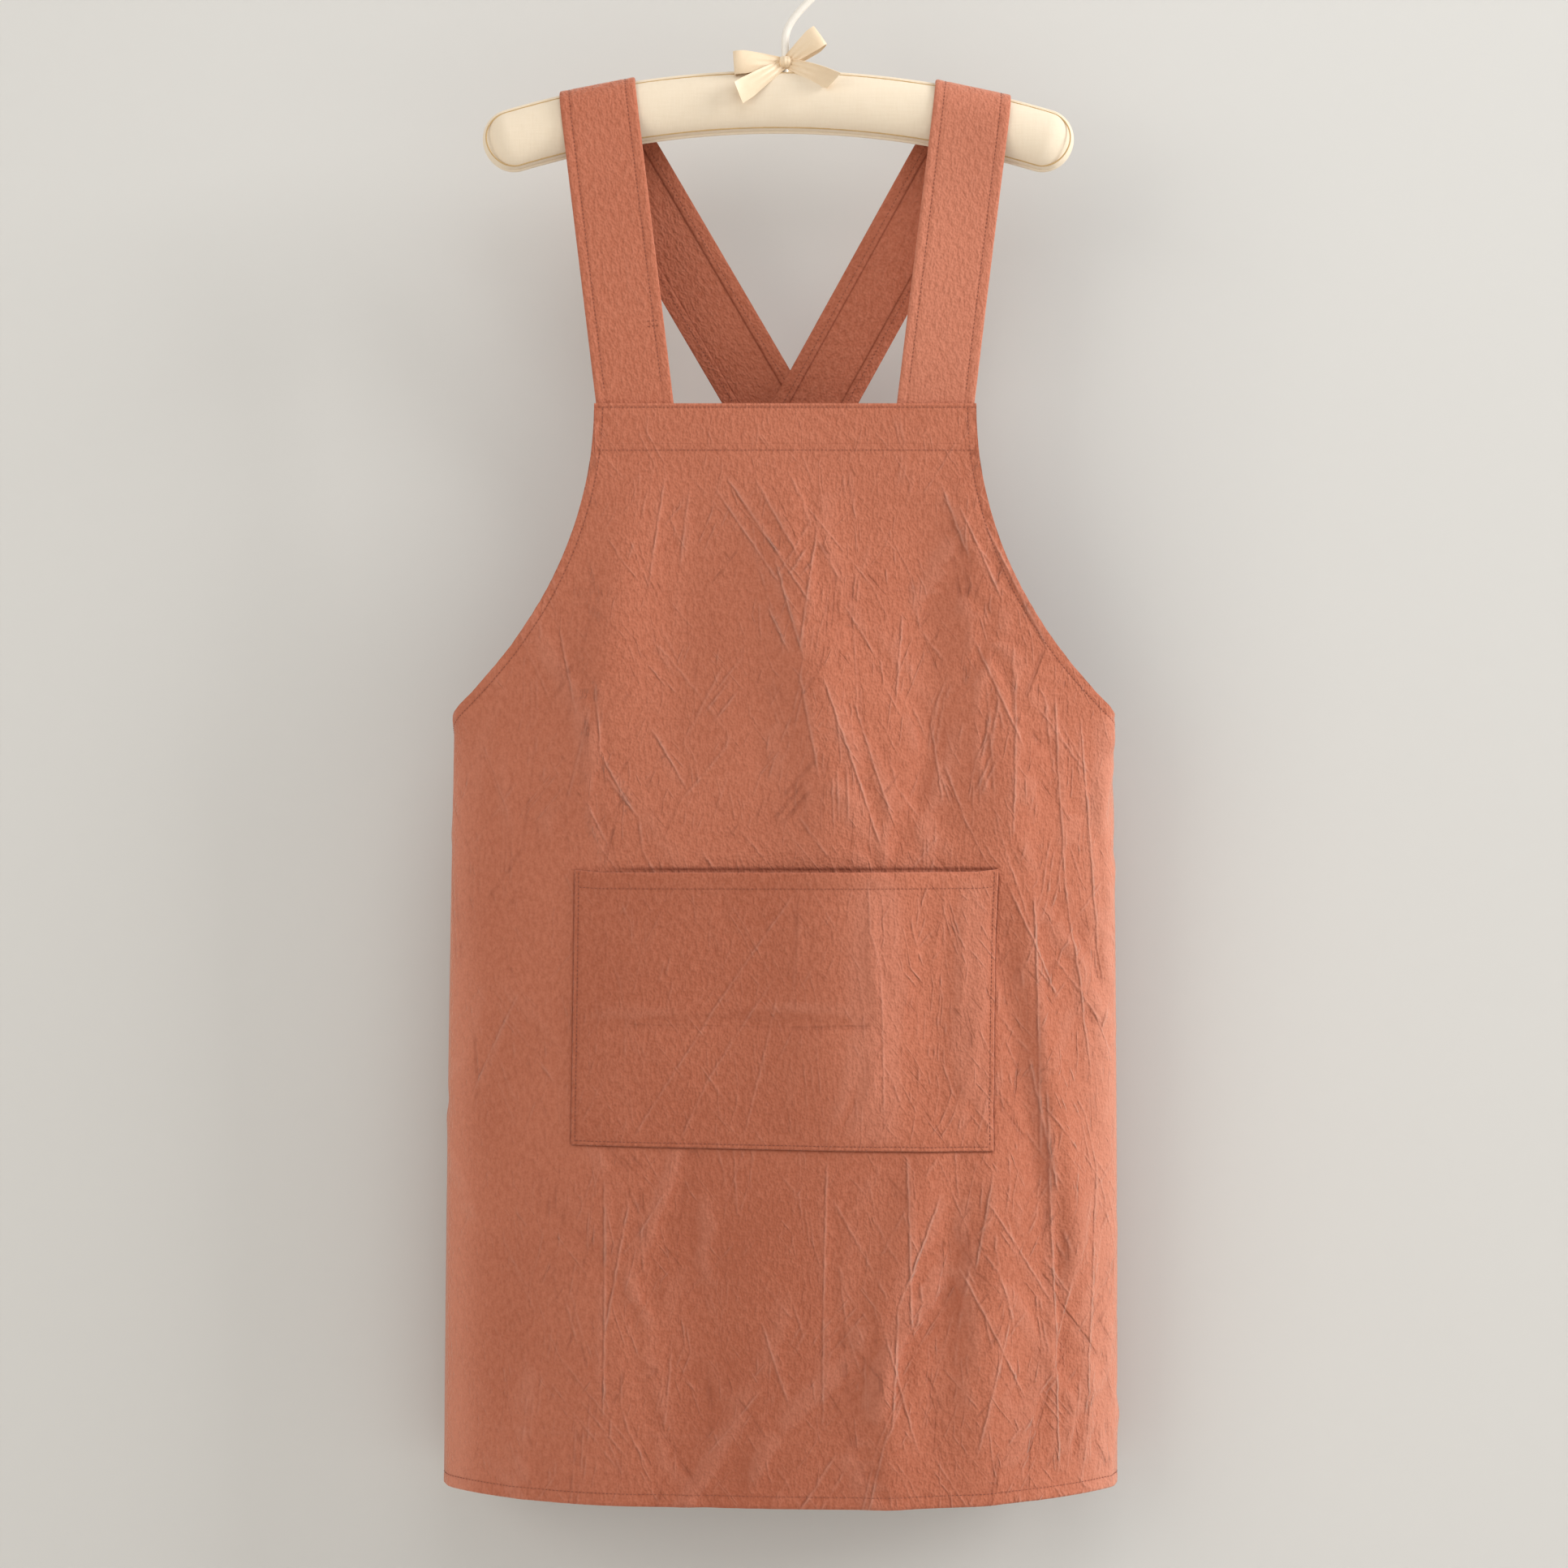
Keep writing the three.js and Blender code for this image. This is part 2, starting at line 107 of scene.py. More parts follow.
def new_material(name, roughness):
    """A material with its shader ready to be wired, and the node tree that holds it."""
    material = bpy.data.materials.new(name)
    material.use_nodes = True
    shader = material.node_tree.nodes["Principled BSDF"]
    shader.inputs["Roughness"].default_value = roughness
    return material, material.node_tree, shader


def painted_plaster(name, colour, see_through_back=False):
    """Matt paint, a little uneven. The wall shows only its front, so it hides nothing from behind."""
    material, tree, shader = new_material(name, 0.9)
    patches = noise(tree, object_place(tree), 1.1, 2.0)
    darker = [0.97 * channel for channel in colour[:3]] + [1]
    wire(shader, {"Base Color": blend(tree, patches, colour, darker)})
    if see_through_back:
        behind = add_node(tree, "NewGeometry").outputs["Backfacing"]
        clear = add_node(tree, "BsdfTransparent").outputs[0]
        both = add_node(tree, "MixShader", {0: behind, 1: shader.outputs[0], 2: clear})
        wire(tree.nodes["Material Output"], {"Surface": both.outputs[0]})
    return material


wall_depth = 0.105
floor_height = -1.35
bpy.ops.mesh.primitive_plane_add(size=7, location=(0, wall_depth, 0), rotation=(math.pi / 2, 0, 0))
wall = bpy.context.object
wall.name = "wall"
wall_paint = painted_plaster("wall_paint", (0.69, 0.683, 0.660, 1), see_through_back=True)
wall.data.materials.append(wall_paint)
bpy.ops.mesh.primitive_plane_add(size=9, location=(0, 0, floor_height))
floor = bpy.context.object
floor.name = "floor"
floor.data.materials.append(painted_plaster("floor_paint", (0.74, 0.72, 0.69, 1)))
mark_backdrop(wall, floor)


apron_middle = Vector((0, 0, -0.5))


def soft_light(name, place, size, power, colour=(1, 1, 1)):
    """A square softbox turned towards the middle of the apron."""
    bpy.ops.object.light_add(type="AREA", location=place)
    light = bpy.context.object
    light.name = name
    light.data.size = size
    light.data.energy = power
    light.data.color = colour
    light.rotation_euler = (apron_middle - Vector(place)).to_track_quat("-Z", "Y").to_euler()


soft_light("window_light", (5.0, -1.25, 1.75), size=2.6, power=266)
soft_light("left_light", (-3.4, -3.4, 0.6), size=3.0, power=62, colour=(1, 0.95, 0.88))
soft_light("top_light", (0.3, -1.2, 0.75), size=1.1, power=5.4)
world = bpy.context.scene.world or bpy.data.worlds.new("studio")
bpy.context.scene.world = world
world.use_nodes = True
wire(world.node_tree.nodes["Background"], {"Color": (1.0, 0.985, 0.96, 1), "Strength": 0.46})


# Hanger arm: a wooden bow wrapped in wadding, under a cream cotton cover of two panels. The panels
# meet in one seam round the outline, where a piping cord is sewn in, edged with a gold thread.
arm_top = -0.0815
arm_shift = -0.0045
arm_half_length = 0.190
arm_half_height = 0.0205
arm_half_depth = 0.0135
arm_arch = 0.600
arm_centre = arm_top - arm_half_height - arm_arch
arm_sweep = math.asin(arm_half_length / arm_arch)
arm_end_round = 0.019
piping_radius = 0.0013
piping_forward = 0.0004
arm_inset = 0.0011
pucker_pitch = 0.0085
pucker_depth = 0.00022
pucker_from_seam, pucker_spread = 0.32, 0.22
groove_depth, groove_width = 0.0007, 0.16
uneven_padding = 0.012
gold_inset = 0.0030
gold_radius = 0.0005
gold_sink = 0.0003


def stacked(*axes):
    """Values of each axis put together as points."""
    return np.stack(np.broadcast_arrays(*axes), axis=-1)


def bell(value):
    return np.exp(-(value**2))


def unit(vectors):
    return vectors / np.linalg.norm(vectors, axis=-1, keepdims=True)


def spaced(points, travelled, wanted):
    """Points at wanted distances along a line, from its points and how far along each lies."""
    return stacked(*(np.interp(wanted, travelled, axis) for axis in points.T))


def travelled_along(points):
    """How far along a line each of its points lies."""
    return np.r_[0, np.cumsum(np.linalg.norm(np.diff(points, axis=0), axis=1))]


def arm_point(part, outwards, depth):
    """A point of the arm: part runs from -1 to 1 along it, outwards is from its middle line."""
    angle = part * arm_sweep
    radius = arm_arch + outwards
    height = arm_centre + radius * np.cos(angle)
    return stacked(arm_shift + radius * np.sin(angle), depth, height)


def arm_fullness(part):
    """How much of its section the arm has left as it rounds off at its ends."""
    into_end = np.clip((np.abs(part) - 1) * arm_half_length / arm_end_round + 1, 0, 1)
    return np.sqrt(1 - into_end**2)


def mesh_points(piece):
    points = np.empty(len(piece.data.vertices) * 3, np.float32)
    piece.data.vertices.foreach_get("co", points)
    return points.reshape(-1, 3).astype(float)


def place_points(piece, points):
    piece.data.vertices.foreach_set("co", np.ascontiguousarray(points, np.float32).ravel())
    piece.data.update()


bpy.ops.mesh.primitive_uv_sphere_add(segments=56, ring_count=220, radius=1)
arm = bpy.context.object
arm.name = "hanger_cover"
ball = mesh_points(arm)
even = 1 - 2 * np.arccos(np.clip(ball[:, 2], -1, 1)) / math.pi
part = 0.4 * even + 0.6 * np.sin(even * math.pi / 2)
around = np.arctan2(ball[:, 1], ball[:, 0])
from_seam = np.abs(np.sin(around))
puckers = np.sin(2 * math.pi * part * arm_half_length / pucker_pitch + 2.1 * np.sin(19 * part))
puckers = puckers * pucker_depth * bell((from_seam - pucker_from_seam) / pucker_spread)
seam_groove = groove_depth * bell(from_seam / groove_width)
full = arm_fullness(part)
swell = full * (1 + uneven_padding * np.sin(31 * part + 2 * np.sin(11 * part)))
outwards = ((arm_half_height - arm_inset) * np.cos(around)) * full
depth = (arm_half_depth * swell + puckers - arm_inset / 2) * np.sin(around) * np.sqrt(full)
place_points(arm, arm_point(part, outwards * (1 - seam_groove / arm_half_height), depth))
bpy.ops.object.shade_smooth()


def cord_along(name, points, radius, closed, sides=4):
    """A round cord through points, made a mesh."""
    bpy.ops.curve.primitive_nurbs_path_add()
    cord = bpy.context.object
    cord.name = name
    cord.data.splines.clear()
    spline = cord.data.splines.new("POLY")
    spline.points.add(len(points) - 1)
    spline.points.foreach_set("co", np.c_[points, np.ones(len(points))].astype(np.float32).ravel())
    spline.use_cyclic_u = closed
    cord.data.bevel_depth = radius
    cord.data.bevel_resolution = sides
    cord.data.use_fill_caps = not closed
    bpy.ops.object.convert(target="MESH")
    cord = bpy.context.object
    bpy.ops.object.shade_smooth()
    return cord


def arm_outline(inset, forward, count=420):
    """Points round the arm's outline, evenly spaced, set in from it and forward of its seam."""
    part = np.sin(np.linspace(-math.pi / 2, math.pi / 2, 900))
    rise = arm_half_height * arm_fullness(part)
    loop = np.r_[np.c_[part, rise], np.c_[part[-2:0:-1], -rise[-2:0:-1]]]
    points = arm_point(loop[:, 0], loop[:, 1], np.zeros(len(loop)))
    run = unit(np.roll(points, -1, axis=0) - np.roll(points, 1, axis=0))
    points += inset * stacked(run[:, 2], 0, -run[:, 0])
    points[:, 1] -= forward
    closed = np.r_[points, points[:1]]
    travelled = travelled_along(closed)
    return spaced(closed, travelled, np.linspace(0, travelled[-1], count, endpoint=False))


piping_line = arm_outline(piping_radius, piping_forward)
piping = cord_along("hanger_piping", piping_line, piping_radius, closed=True)


def gold_line(side):
    """The gold thread's path, just inside the piping, on the cover's front (-1) or back (1)."""
    points = arm_outline(gold_inset, 0)
    rise = points[:, 2] - arm_centre
    run = points[:, 0] - arm_shift
    part = np.arctan2(run, rise) / arm_sweep
    full = arm_fullness(part)
    level = (np.hypot(run, rise) - arm_arch) / ((arm_half_height - arm_inset) * np.maximum(full, 0.05))
    points[:, 1] = side * (arm_half_depth * np.sqrt(full * np.clip(1 - level**2, 0, 1)) - gold_sink)
    return points


gold_edges = [
    cord_along(name, gold_line(side), gold_radius, closed=True, sides=2)
    for name, side in (("gold_edge_front", -1), ("gold_edge_back", 1))
]


def node_group(name, inputs, outputs):
    """An empty shader group with its sockets, and its input and output nodes."""
    group = bpy.data.node_groups.new(name, "ShaderNodeTree")
    for socket, kind, value in inputs:
        made = group.interface.new_socket(socket, in_out="INPUT", socket_type=kind)
        if value is not None:
            made.default_value = value
    for socket in outputs:
        group.interface.new_socket(socket, in_out="OUTPUT", socket_type="NodeSocketFloat")
    return group, group.nodes.new("NodeGroupInput"), group.nodes.new("NodeGroupOutput")


def math_node(tree, operation, *values):
    return add_node(tree, "Math", dict(enumerate(values)), operation=operation).outputs[0]


def plain_weave_group():
    """Plain weave: threads over and under each other, and thick places along both threads."""
    group, start, end = node_group(
        "plain_weave",
        [("Vector", "NodeSocketVector", None), ("Threads", "NodeSocketFloat", 1300.0)],
        ["Height", "Slub"],
    )
    axes = add_node(group, "SeparateXYZ", {0: start.outputs["Vector"]})
    waves = []
    for axis in ("X", "Y"):
        turns = math_node(group, "MULTIPLY", axes.outputs[axis], start.outputs["Threads"])
        waves.append(math_node(group, "SINE", math_node(group, "MULTIPLY", turns, math.pi)))
    crossing = math_node(group, "MULTIPLY", *waves)
    slubs = []
    for stretch in ((760, 70, 300), (70, 760, 300)):
        links = {0: start.outputs["Vector"], 1: stretch}
        drawn = add_node(group, "VectorMath", links, operation="MULTIPLY")
        slubs.append(noise(group, drawn.outputs[0], 1.0, 2.0))
    slub = math_node(group, "MULTIPLY", math_node(group, "ADD", *slubs), 0.5)
    thick = math_node(group, "MULTIPLY_ADD", slub, 1.6, math_node(group, "MULTIPLY", crossing, 0.35))
    wire(end, {"Height": thick, "Slub": slub})
    return group


plain_weave = plain_weave_group()


def bumped(tree, height, strength, distance):
    """The surface's normal over a height."""
    links = {"Height": height, "Strength": strength, "Distance": distance}
    return add_node(tree, "Bump", links).outputs[0]


def woven_material(name, colour, deep_colour, roughness, threads, bump):
    """Plain cotton: weave in its bump and its colour, read from Object coordinates."""
    material, tree, shader = new_material(name, roughness)
    links = {"Vector": object_place(tree), "Rotation": (math.pi / 2, 0, 0)}
    turned = add_node(tree, "Mapping", links).outputs[0]
    weave = add_node(tree, "Group", {"Vector": turned, "Threads": threads}, node_tree=plain_weave)
    links = {"Value": weave.outputs["Slub"], "From Min": 0.2, "From Max": 0.8}
    tone = add_node(tree, "MapRange", links)
    shade = blend(tree, tone.outputs[0], deep_colour, colour)
    raised = bumped(tree, weave.outputs["Height"], 1.0, bump)
    wire(shader, {"Base Color": shade, "Normal": raised, "Sheen Weight": 0.15})
    return material


cream_cotton = woven_material(
    "cream_cotton",
    colour=(0.86, 0.74, 0.58, 1),
    deep_colour=(0.82, 0.69, 0.52, 1),
    roughness=0.82,
    threads=2600,
    bump=0.00008,
)
gold_thread = woven_material(
    "gold_thread",
    colour=(0.62, 0.42, 0.19, 1),
    deep_colour=(0.50, 0.32, 0.13, 1),
    roughness=0.5,
    threads=4200,
    bump=0.00006,
)
arm.data.materials.append(cream_cotton)
piping.data.materials.append(cream_cotton)
for gold_edge in gold_edges:
    gold_edge.data.materials.append(gold_thread)
for trim in [piping, *gold_edges]:
    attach(trim, "root")
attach(arm, "root")
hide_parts("hanger_arm")


# Hanger hook: a steel rod bent into a swan neck and a round bend, dipped in white paint. Its foot is
# pushed through the cover into the wooden bow.
wire_radius = 0.0025
bend_radius = 0.0226
bend_centre = wire_radius - bend_radius
neck_height = -0.062
neck_pull = 0.010
bend_start, bend_sweep = math.radians(-45), math.radians(245)
hook_foot = arm_top - 0.012
tip_radius = 1.02 * wire_radius


def cubic(corners, count):
    """Points along a cubic Bezier curve."""
    t = np.linspace(0, 1, count)[:, None]
    a, b, c, d = np.array(corners, float)
    return (1 - t) ** 3 * a + 3 * (1 - t) ** 2 * t * b + 3 * (1 - t) * t**2 * c + t**3 * d


bend = bend_start + bend_sweep * np.linspace(0, 1, 90)
bend_points = np.c_[bend_radius * np.cos(bend), np.zeros(90), bend_centre + bend_radius * np.sin(bend)]
join = bend_points[0]
lean_in = np.array((neck_pull, 0, neck_pull)) / math.sqrt(2)
neck_points = cubic([(0, 0, neck_height), (0, 0, neck_height + neck_pull), join - lean_in, join], 30)
stem_points = np.linspace((0, 0, hook_foot), (0, 0, neck_height), 12)
hook_line = np.r_[stem_points[:-1], neck_points[:-1], bend_points]
hook = cord_along("hook_rod", hook_line, wire_radius, closed=False, sides=6)
bpy.ops.mesh.primitive_uv_sphere_add(
    segments=20, ring_count=12, radius=tip_radius, location=bend_points[-1]
)
bpy.ops.object.transform_apply(location=True, rotation=True, scale=True)
bpy.ops.object.shade_smooth()
hook.select_set(True)
bpy.context.view_layer.objects.active = hook
bpy.ops.object.join()

white_paint, tree, shader = new_material("white_paint", 0.3)
runs = noise(tree, object_place(tree), 260.0, 3.0)
tint = blend(tree, runs, (0.84, 0.79, 0.71, 1), (0.90, 0.86, 0.79, 1))
wire(shader, {"Base Color": tint, "Normal": bumped(tree, runs, 0.4, 0.0002), "Coat Weight": 0.3})
hook.data.materials.clear()
hook.data.materials.append(white_paint)
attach(hook, "root")
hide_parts("hanger_hook")


# Ribbon bow: one length of beige satin ribbon, tied round the hook's stem where it enters the cover.
# Two loops and two cut tails leave the knot, and the ribbon is gathered where the knot holds it.
ribbon_width = 0.0142
ribbon_pinched = 0.0058
ribbon_thick = 0.0005
ribbon_behind_knot = 0.0035
knot_height = arm_top + 0.0048
knot_front = -0.0045
knot_half = (0.0047, 0.0058, 0.0045)
knot_behind = 0.0028
tail_bow = 0.0009
tail_slant = 0.0022
gather_depth = 0.0006
cup_depth = 0.0011
bow_ribbons = [
    # name, reach, angle, forward, depth of the loop, drop of its far layer, flare at its end, turn
    ("bow_loop_left", 0.0330, 184, 0.0095, 0.0036, 0.0034, 1.05, 0),
    ("bow_loop_right", 0.0278, 36, 0.0065, 0.0032, 0.0018, 1.0, 0),
    ("bow_tail_left", 0.0385, 219, 0.0210, 0, 0, 1.0, 0),
    ("bow_tail_right", 0.0350, -27, 0.0185, 0, 0, 1.0, 42),
]


def surface_normals(points):
    """Unit normals of a grid of points: columns run right and rows run up on its front."""
    return unit(np.cross(np.gradient(points, axis=1), np.gradient(points, axis=0)))


def cloth_wall(name, outer, inner, cut, marks=None):
    """A sheet of cloth with its thickness, from the points of both faces. Its UV map is the flat
    cut in metres. Marks are named values for its material, at the points of both faces."""
    rows, columns = outer.shape[:2]
    bpy.ops.mesh.primitive_grid_add(x_subdivisions=columns - 1, y_subdivisions=rows - 1, size=1)
    piece = bpy.context.object
    piece.name = name
    loops = np.empty(len(piece.data.loops), np.int32)
    piece.data.loops.foreach_get("vertex_index", loops)
    flat = cut.reshape(-1, 2)[loops].astype(np.float32)
    piece.data.uv_layers[0].name = "cut"
    piece.data.uv_layers[0].data.foreach_set("uv", flat.ravel())
    solid = piece.modifiers.new("thickness", "SOLIDIFY")
    solid.thickness = 0.01
    solid.offset = -1
    bpy.ops.object.modifier_apply(modifier="thickness")
    place_points(piece, np.r_[outer.reshape(-1, 3), inner.reshape(-1, 3)])
    for mark, faces in (marks or {}).items():
        values = np.r_[tuple(face.reshape(rows * columns, -1) for face in faces)]
        attribute = piece.data.attributes.new(mark, "FLOAT_VECTOR", "POINT")
        attribute.data.foreach_set("vector", values.astype(np.float32).ravel())
    bpy.ops.object.shade_smooth_by_angle(angle=math.radians(50))
    return piece


bow_pieces = []
for name, reach, angle, forward, loop_depth, drop, flare, turn in bow_ribbons:
    rows = 61 if loop_depth else 31
    t = np.linspace(0, 1, rows)[:, None]
    w = np.linspace(-1, 1, 13)[None, :]
    away = np.array((math.cos(math.radians(angle)), 0, math.sin(math.radians(angle))))
    wide = np.array((-away[2], 0, away[0]))
    if loop_depth:
        out = np.sin(math.pi * t)
        bowed = loop_depth * np.sin(2 * math.pi * t)
    else:
        out = t
        bowed = tail_bow * np.sin(math.pi * 1.5 * t)
    spread = np.clip(out * 1.25, 0, 1) ** 0.9
    half = (ribbon_pinched + (flare * ribbon_width - ribbon_pinched) * spread) / 2
    gathers = gather_depth * (1 - spread) * np.cos(w * 9)
    cupped = cup_depth * spread * w**2 * (1 if loop_depth else -0.5)
    tilt = math.radians(turn) * spread
    behind = knot_front + ribbon_behind_knot - forward * out - bowed + gathers + cupped
    slide = -drop * np.clip(2 * t - 1, 0, 1) * np.sign(wide[2]) if loop_depth else 0
    points = reach * out[..., None] * away + (half * w * np.cos(tilt) + slide)[..., None] * wide
    points[..., 1] = behind - half * w * np.sin(tilt)
    points[..., 2] += knot_height
    if not loop_depth:
        points += (tail_slant * (t**8) * w)[..., None] * away
    normals = surface_normals(points)
    length = np.linalg.norm(np.diff(points[:, 6], axis=0), axis=1).sum()
    cut = stacked(w * ribbon_width / 2, t * length)
    lift = ribbon_thick / 2
    bow_pieces.append((name, points + lift * normals, points - lift * normals, cut, length))

satin, tree, shader = new_material("beige_satin", 0.36)
place = add_node(tree, "UVMap", uv_map="cut").outputs[0]
drawn = add_node(tree, "VectorMath", {0: place, 1: (500, 5200, 1)}, operation="MULTIPLY").outputs[0]
weft = noise(tree, drawn, 1.0, 1.0)
cloudy = math_node(tree, "MULTIPLY", noise(tree, place, 120.0, 2.0), 0.5)
share = math_node(tree, "MULTIPLY_ADD", weft, 0.5, cloudy)
tint = blend(tree, share, (0.74, 0.56, 0.36, 1), (0.90, 0.74, 0.54, 1))
wire(shader, {"Base Color": tint, "Normal": bumped(tree, weft, 0.5, 0.0001)})
wire(shader, {"Sheen Weight": 0.2, "Anisotropic": 0.4})

for name, outer, inner, cut, length in bow_pieces:
    ribbon = cloth_wall(name, outer, inner, cut)
    ribbon.data.materials.append(satin)
    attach(ribbon, "root")

bpy.ops.mesh.primitive_uv_sphere_add(segments=48, ring_count=32, radius=1)
knot = bpy.context.object
knot.name = "bow_knot"
ball = mesh_points(knot)
folds = 1 + 0.06 * np.cos(5 * ball[:, 0] * 2.2 + 0.8) * (1 - ball[:, 2] ** 2)
waist = 1 - 0.1 * bell(ball[:, 0] / 0.35)
knot_points = ball * knot_half * folds[:, None]
knot_points[:, 2] *= waist
place_points(knot, knot_points + (0, knot_front + knot_behind, knot_height))
bpy.ops.object.shade_smooth()
knot.data.uv_layers[0].name = "cut"
knot.data.materials.append(satin)
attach(knot, "root")
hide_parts("hanger_bow")


# Apron body: bib, skirt and side wings cut in one from washed linen and hemmed all round, with a
# facing turned in along the bib's top. It hangs from the bib, bends round at the sides and folds to
# the back, and it keeps the soft folds and sharp creases of washing.
cloth_thick = 0.0012
bib_top = -0.299
bib_front = -0.018
bib_half = 0.1225
bib_band = 0.0295
cut_length = 0.708
cut_half = 0.362
hang_lean = -0.0045
armhole_corners = [(bib_half, 0), (0.122, 0.140), (0.242, 0.248), (cut_half, 0.240)]
drape_heights = [0, 0.210, 0.708]
drape_fold_at = [0.2124, 0.2124, 0.2268]
drape_front_turn = np.radians([0, 28.6, 42.4])
drape_fold_radius = [0.027, 0.018, 0.026]
drape_wing_turn = np.radians([180, 180, 172])


def hang(across, down, lift):
    """Where points of the flat cut lie on the hanging cloth, lifted outwards from its middle."""
    fold_at, front_turn, fold_radius, wing_turn = (
        np.interp(down, drape_heights, sizes)
        for sizes in (drape_fold_at, drape_front_turn, drape_fold_radius, drape_wing_turn)
    )
    side = np.where(across < 0, -1, 1)
    away = np.abs(across)
    front = np.minimum(away, fold_at)
    bend = front_turn * (front / fold_at) ** 2
    turned = np.clip((away - fold_at) / fold_radius, 0, wing_turn - front_turn)
    heading = bend + turned
    flat = np.maximum(away - fold_at - turned * fold_radius, 0)
    roll = np.where(away > fold_at, fold_radius, 0)
    x = front * (1 - bend**2 / 10 + bend**4 / 216)
    x = x + roll * (np.sin(heading) - np.sin(bend)) + flat * np.cos(heading)
    y = front * (bend / 3 - bend**3 / 42)
    y = y + roll * (np.cos(bend) - np.cos(heading)) + flat * np.sin(heading)
    return stacked(
        side * (x + lift * np.sin(heading)) + hang_lean * down,
        bib_front + y - lift * np.cos(heading),
        bib_top - down,
    )


def metres(rows):
    """A table in millimetres as one in metres."""
    return [[size / 1000 for size in row] for row in rows]


fold_fade = 0.8
soft_folds = [
    # across and down at the top, across and down at the foot, width, height, in millimetres
    (4, 45, 36, 310, 26, 8.5),
    (90, 60, 98, 310, 22, -7),
    (146, 165, 148, 340, 18, 4.2),
    (-94, 36, -132, 290, 20, 3.2),
    (-58, 30, -74, 260, 24, -3.6),
    (112, 40, 128, 130, 9, 1.6),
    (36, 280, 40, 500, 34, 4.2),
    (108, 290, 104, 470, 20, -2.8),
    (150, 300, 205, 600, 13, 5.6),
    (135, 290, 185, 590, 11, -3.8),
    (100, 455, 60, 615, 14, 4),
    (62, 560, 74, 760, 13, 3.6),
    (116, 480, 96, 690, 13, -4.4),
    (138, 455, 130, 740, 18, 5.5),
    (-128, 400, -120, 760, 32, 1.4),
    (-62, 440, -58, 780, 30, -2.8),
    (75, 400, 80, 980, 95, 5.5),
]
soft_folds = metres(soft_folds)
sharp_creases = [
    # across and down at the top, across and down at the foot, width, height, in millimetres
    (172, 440, 184, 690, 3.4, 1.9),
    (213, 491, 205, 666, 3, 0.8),
    (161, 419, 181, 510, 3, 0.8),
    (102, 507, 74, 579, 5, 1),
    (74, 579, 71, 657, 4, 0.8),
    (136, 492, 123, 560, 4, 0.8),
    (29, 485, 27, 657, 2, 0.5),
    (80, 483, 83, 595, 2.5, 0.7),
    (-114, 497, -114, 653, 2, 0.5),
    (-98, 512, -114, 601, 2, 0.5),
    (-12, 589, 5, 641, 2, 0.5),
    (-38, 46, 17, 129, 2.5, 0.6),
    (-45, 54, -3, 116, 2, 0.5),
    (-19, 48, 10, 100, 2, 0.5),
    (-6, 100, 13, 165, 3, 0.8),
    (-11, 129, 3, 160, 3, 0.7),
    (38, 129, 60, 164, 2, 0.5),
    (22, 74, 10, 158, 2.5, 0.6),
    (76, 134, 72, 191, 2.5, 0.6),
    (96, 207, 103, 257, 3, 0.6),
    (25, 176, 62, 283, 4, 1),
    (44, 189, 70, 267, 2.5, 0.6),
    (10, 173, 23, 241, 2.5, 0.5),
    (122, 150, 156, 223, 2.5, 0.6),
    (100, 51, 119, 100, 3, 0.8),
    (111, 64, 140, 126, 3, 0.7),
    (127, 74, 171, 157, 2.5, 0.6),
    (150, 170, 148, 278, 3, 0.7),
    (177, 186, 186, 309, 3, 0.7),
    (196, 201, 212, 352, 3, 0.8),
    (163, 312, 170, 485, 3, 0.8),
    (145, 309, 180, 383, 2.5, 0.6),
    (185, 304, 208, 437, 2.5, 0.7),
    (-121, 178, -117, 228, 2, 0.5),
    (-117, 225, -96, 263, 2, 0.6),
    (-86, 207, -62, 247, 2, 0.5),
    (-126, 257, -112, 285, 2, 0.5),
    (-145, 142, -133, 199, 2, 0.4),
    (-173, 380, -207, 445, 3, 0.5),
    (-61, 54, -67, 106, 2, 0.4),
    (-77, 48, -87, 116, 2, 0.4),
    (132, 513, 176, 578, 2.5, 0.6),
    (114, 554, 158, 640, 2.5, 0.6),
    (147, 587, 125, 675, 2.5, 0.6),
    (194, 558, 176, 631, 2.5, 0.6),
    (212, 634, 202, 703, 2.5, 0.6),
    (66, 595, 88, 673, 2.5, 0.5),
]
sharp_creases = metres(sharp_creases)
crease_most = 1.2
crease_zones = [
    # where the cloth is creased most: across, down, spread across, spread down, share
    (0.190, 0.450, 0.055, 0.300, 1.0),
    (0.120, 0.600, 0.080, 0.100, 0.8),
    (0.020, 0.110, 0.060, 0.065, 0.7),
    (0.130, 0.120, 0.040, 0.080, 0.8),
    (0.045, 0.240, 0.060, 0.050, 0.6),
    (-0.110, 0.230, 0.040, 0.040, 0.4),
    (-0.100, 0.580, 0.060, 0.100, 0.3),
]


def crease_share(across, down):
    """How much of the creasing falls on a place of the cut."""
    share = 0.5 + 0 * across
    for at_across, at_down, wide, tall, extra in crease_zones:
        away = ((across - at_across) / wide) ** 2 + ((down - at_down) / tall) ** 2
        share = share + extra * np.exp(-away)
    return np.minimum(share, crease_most)


steepest_lean = 0.7
usual_leans, lean_chances = [0, 32, -30], [0.5, 0.36, 0.14]
lean_spread, leg_turn = 13, 14
ridge_chance = 0.72
bundle_chance = 0.3
bundle_apart, bundle_slide = (0.0025, 0.0055), (-0.008, 0.008)


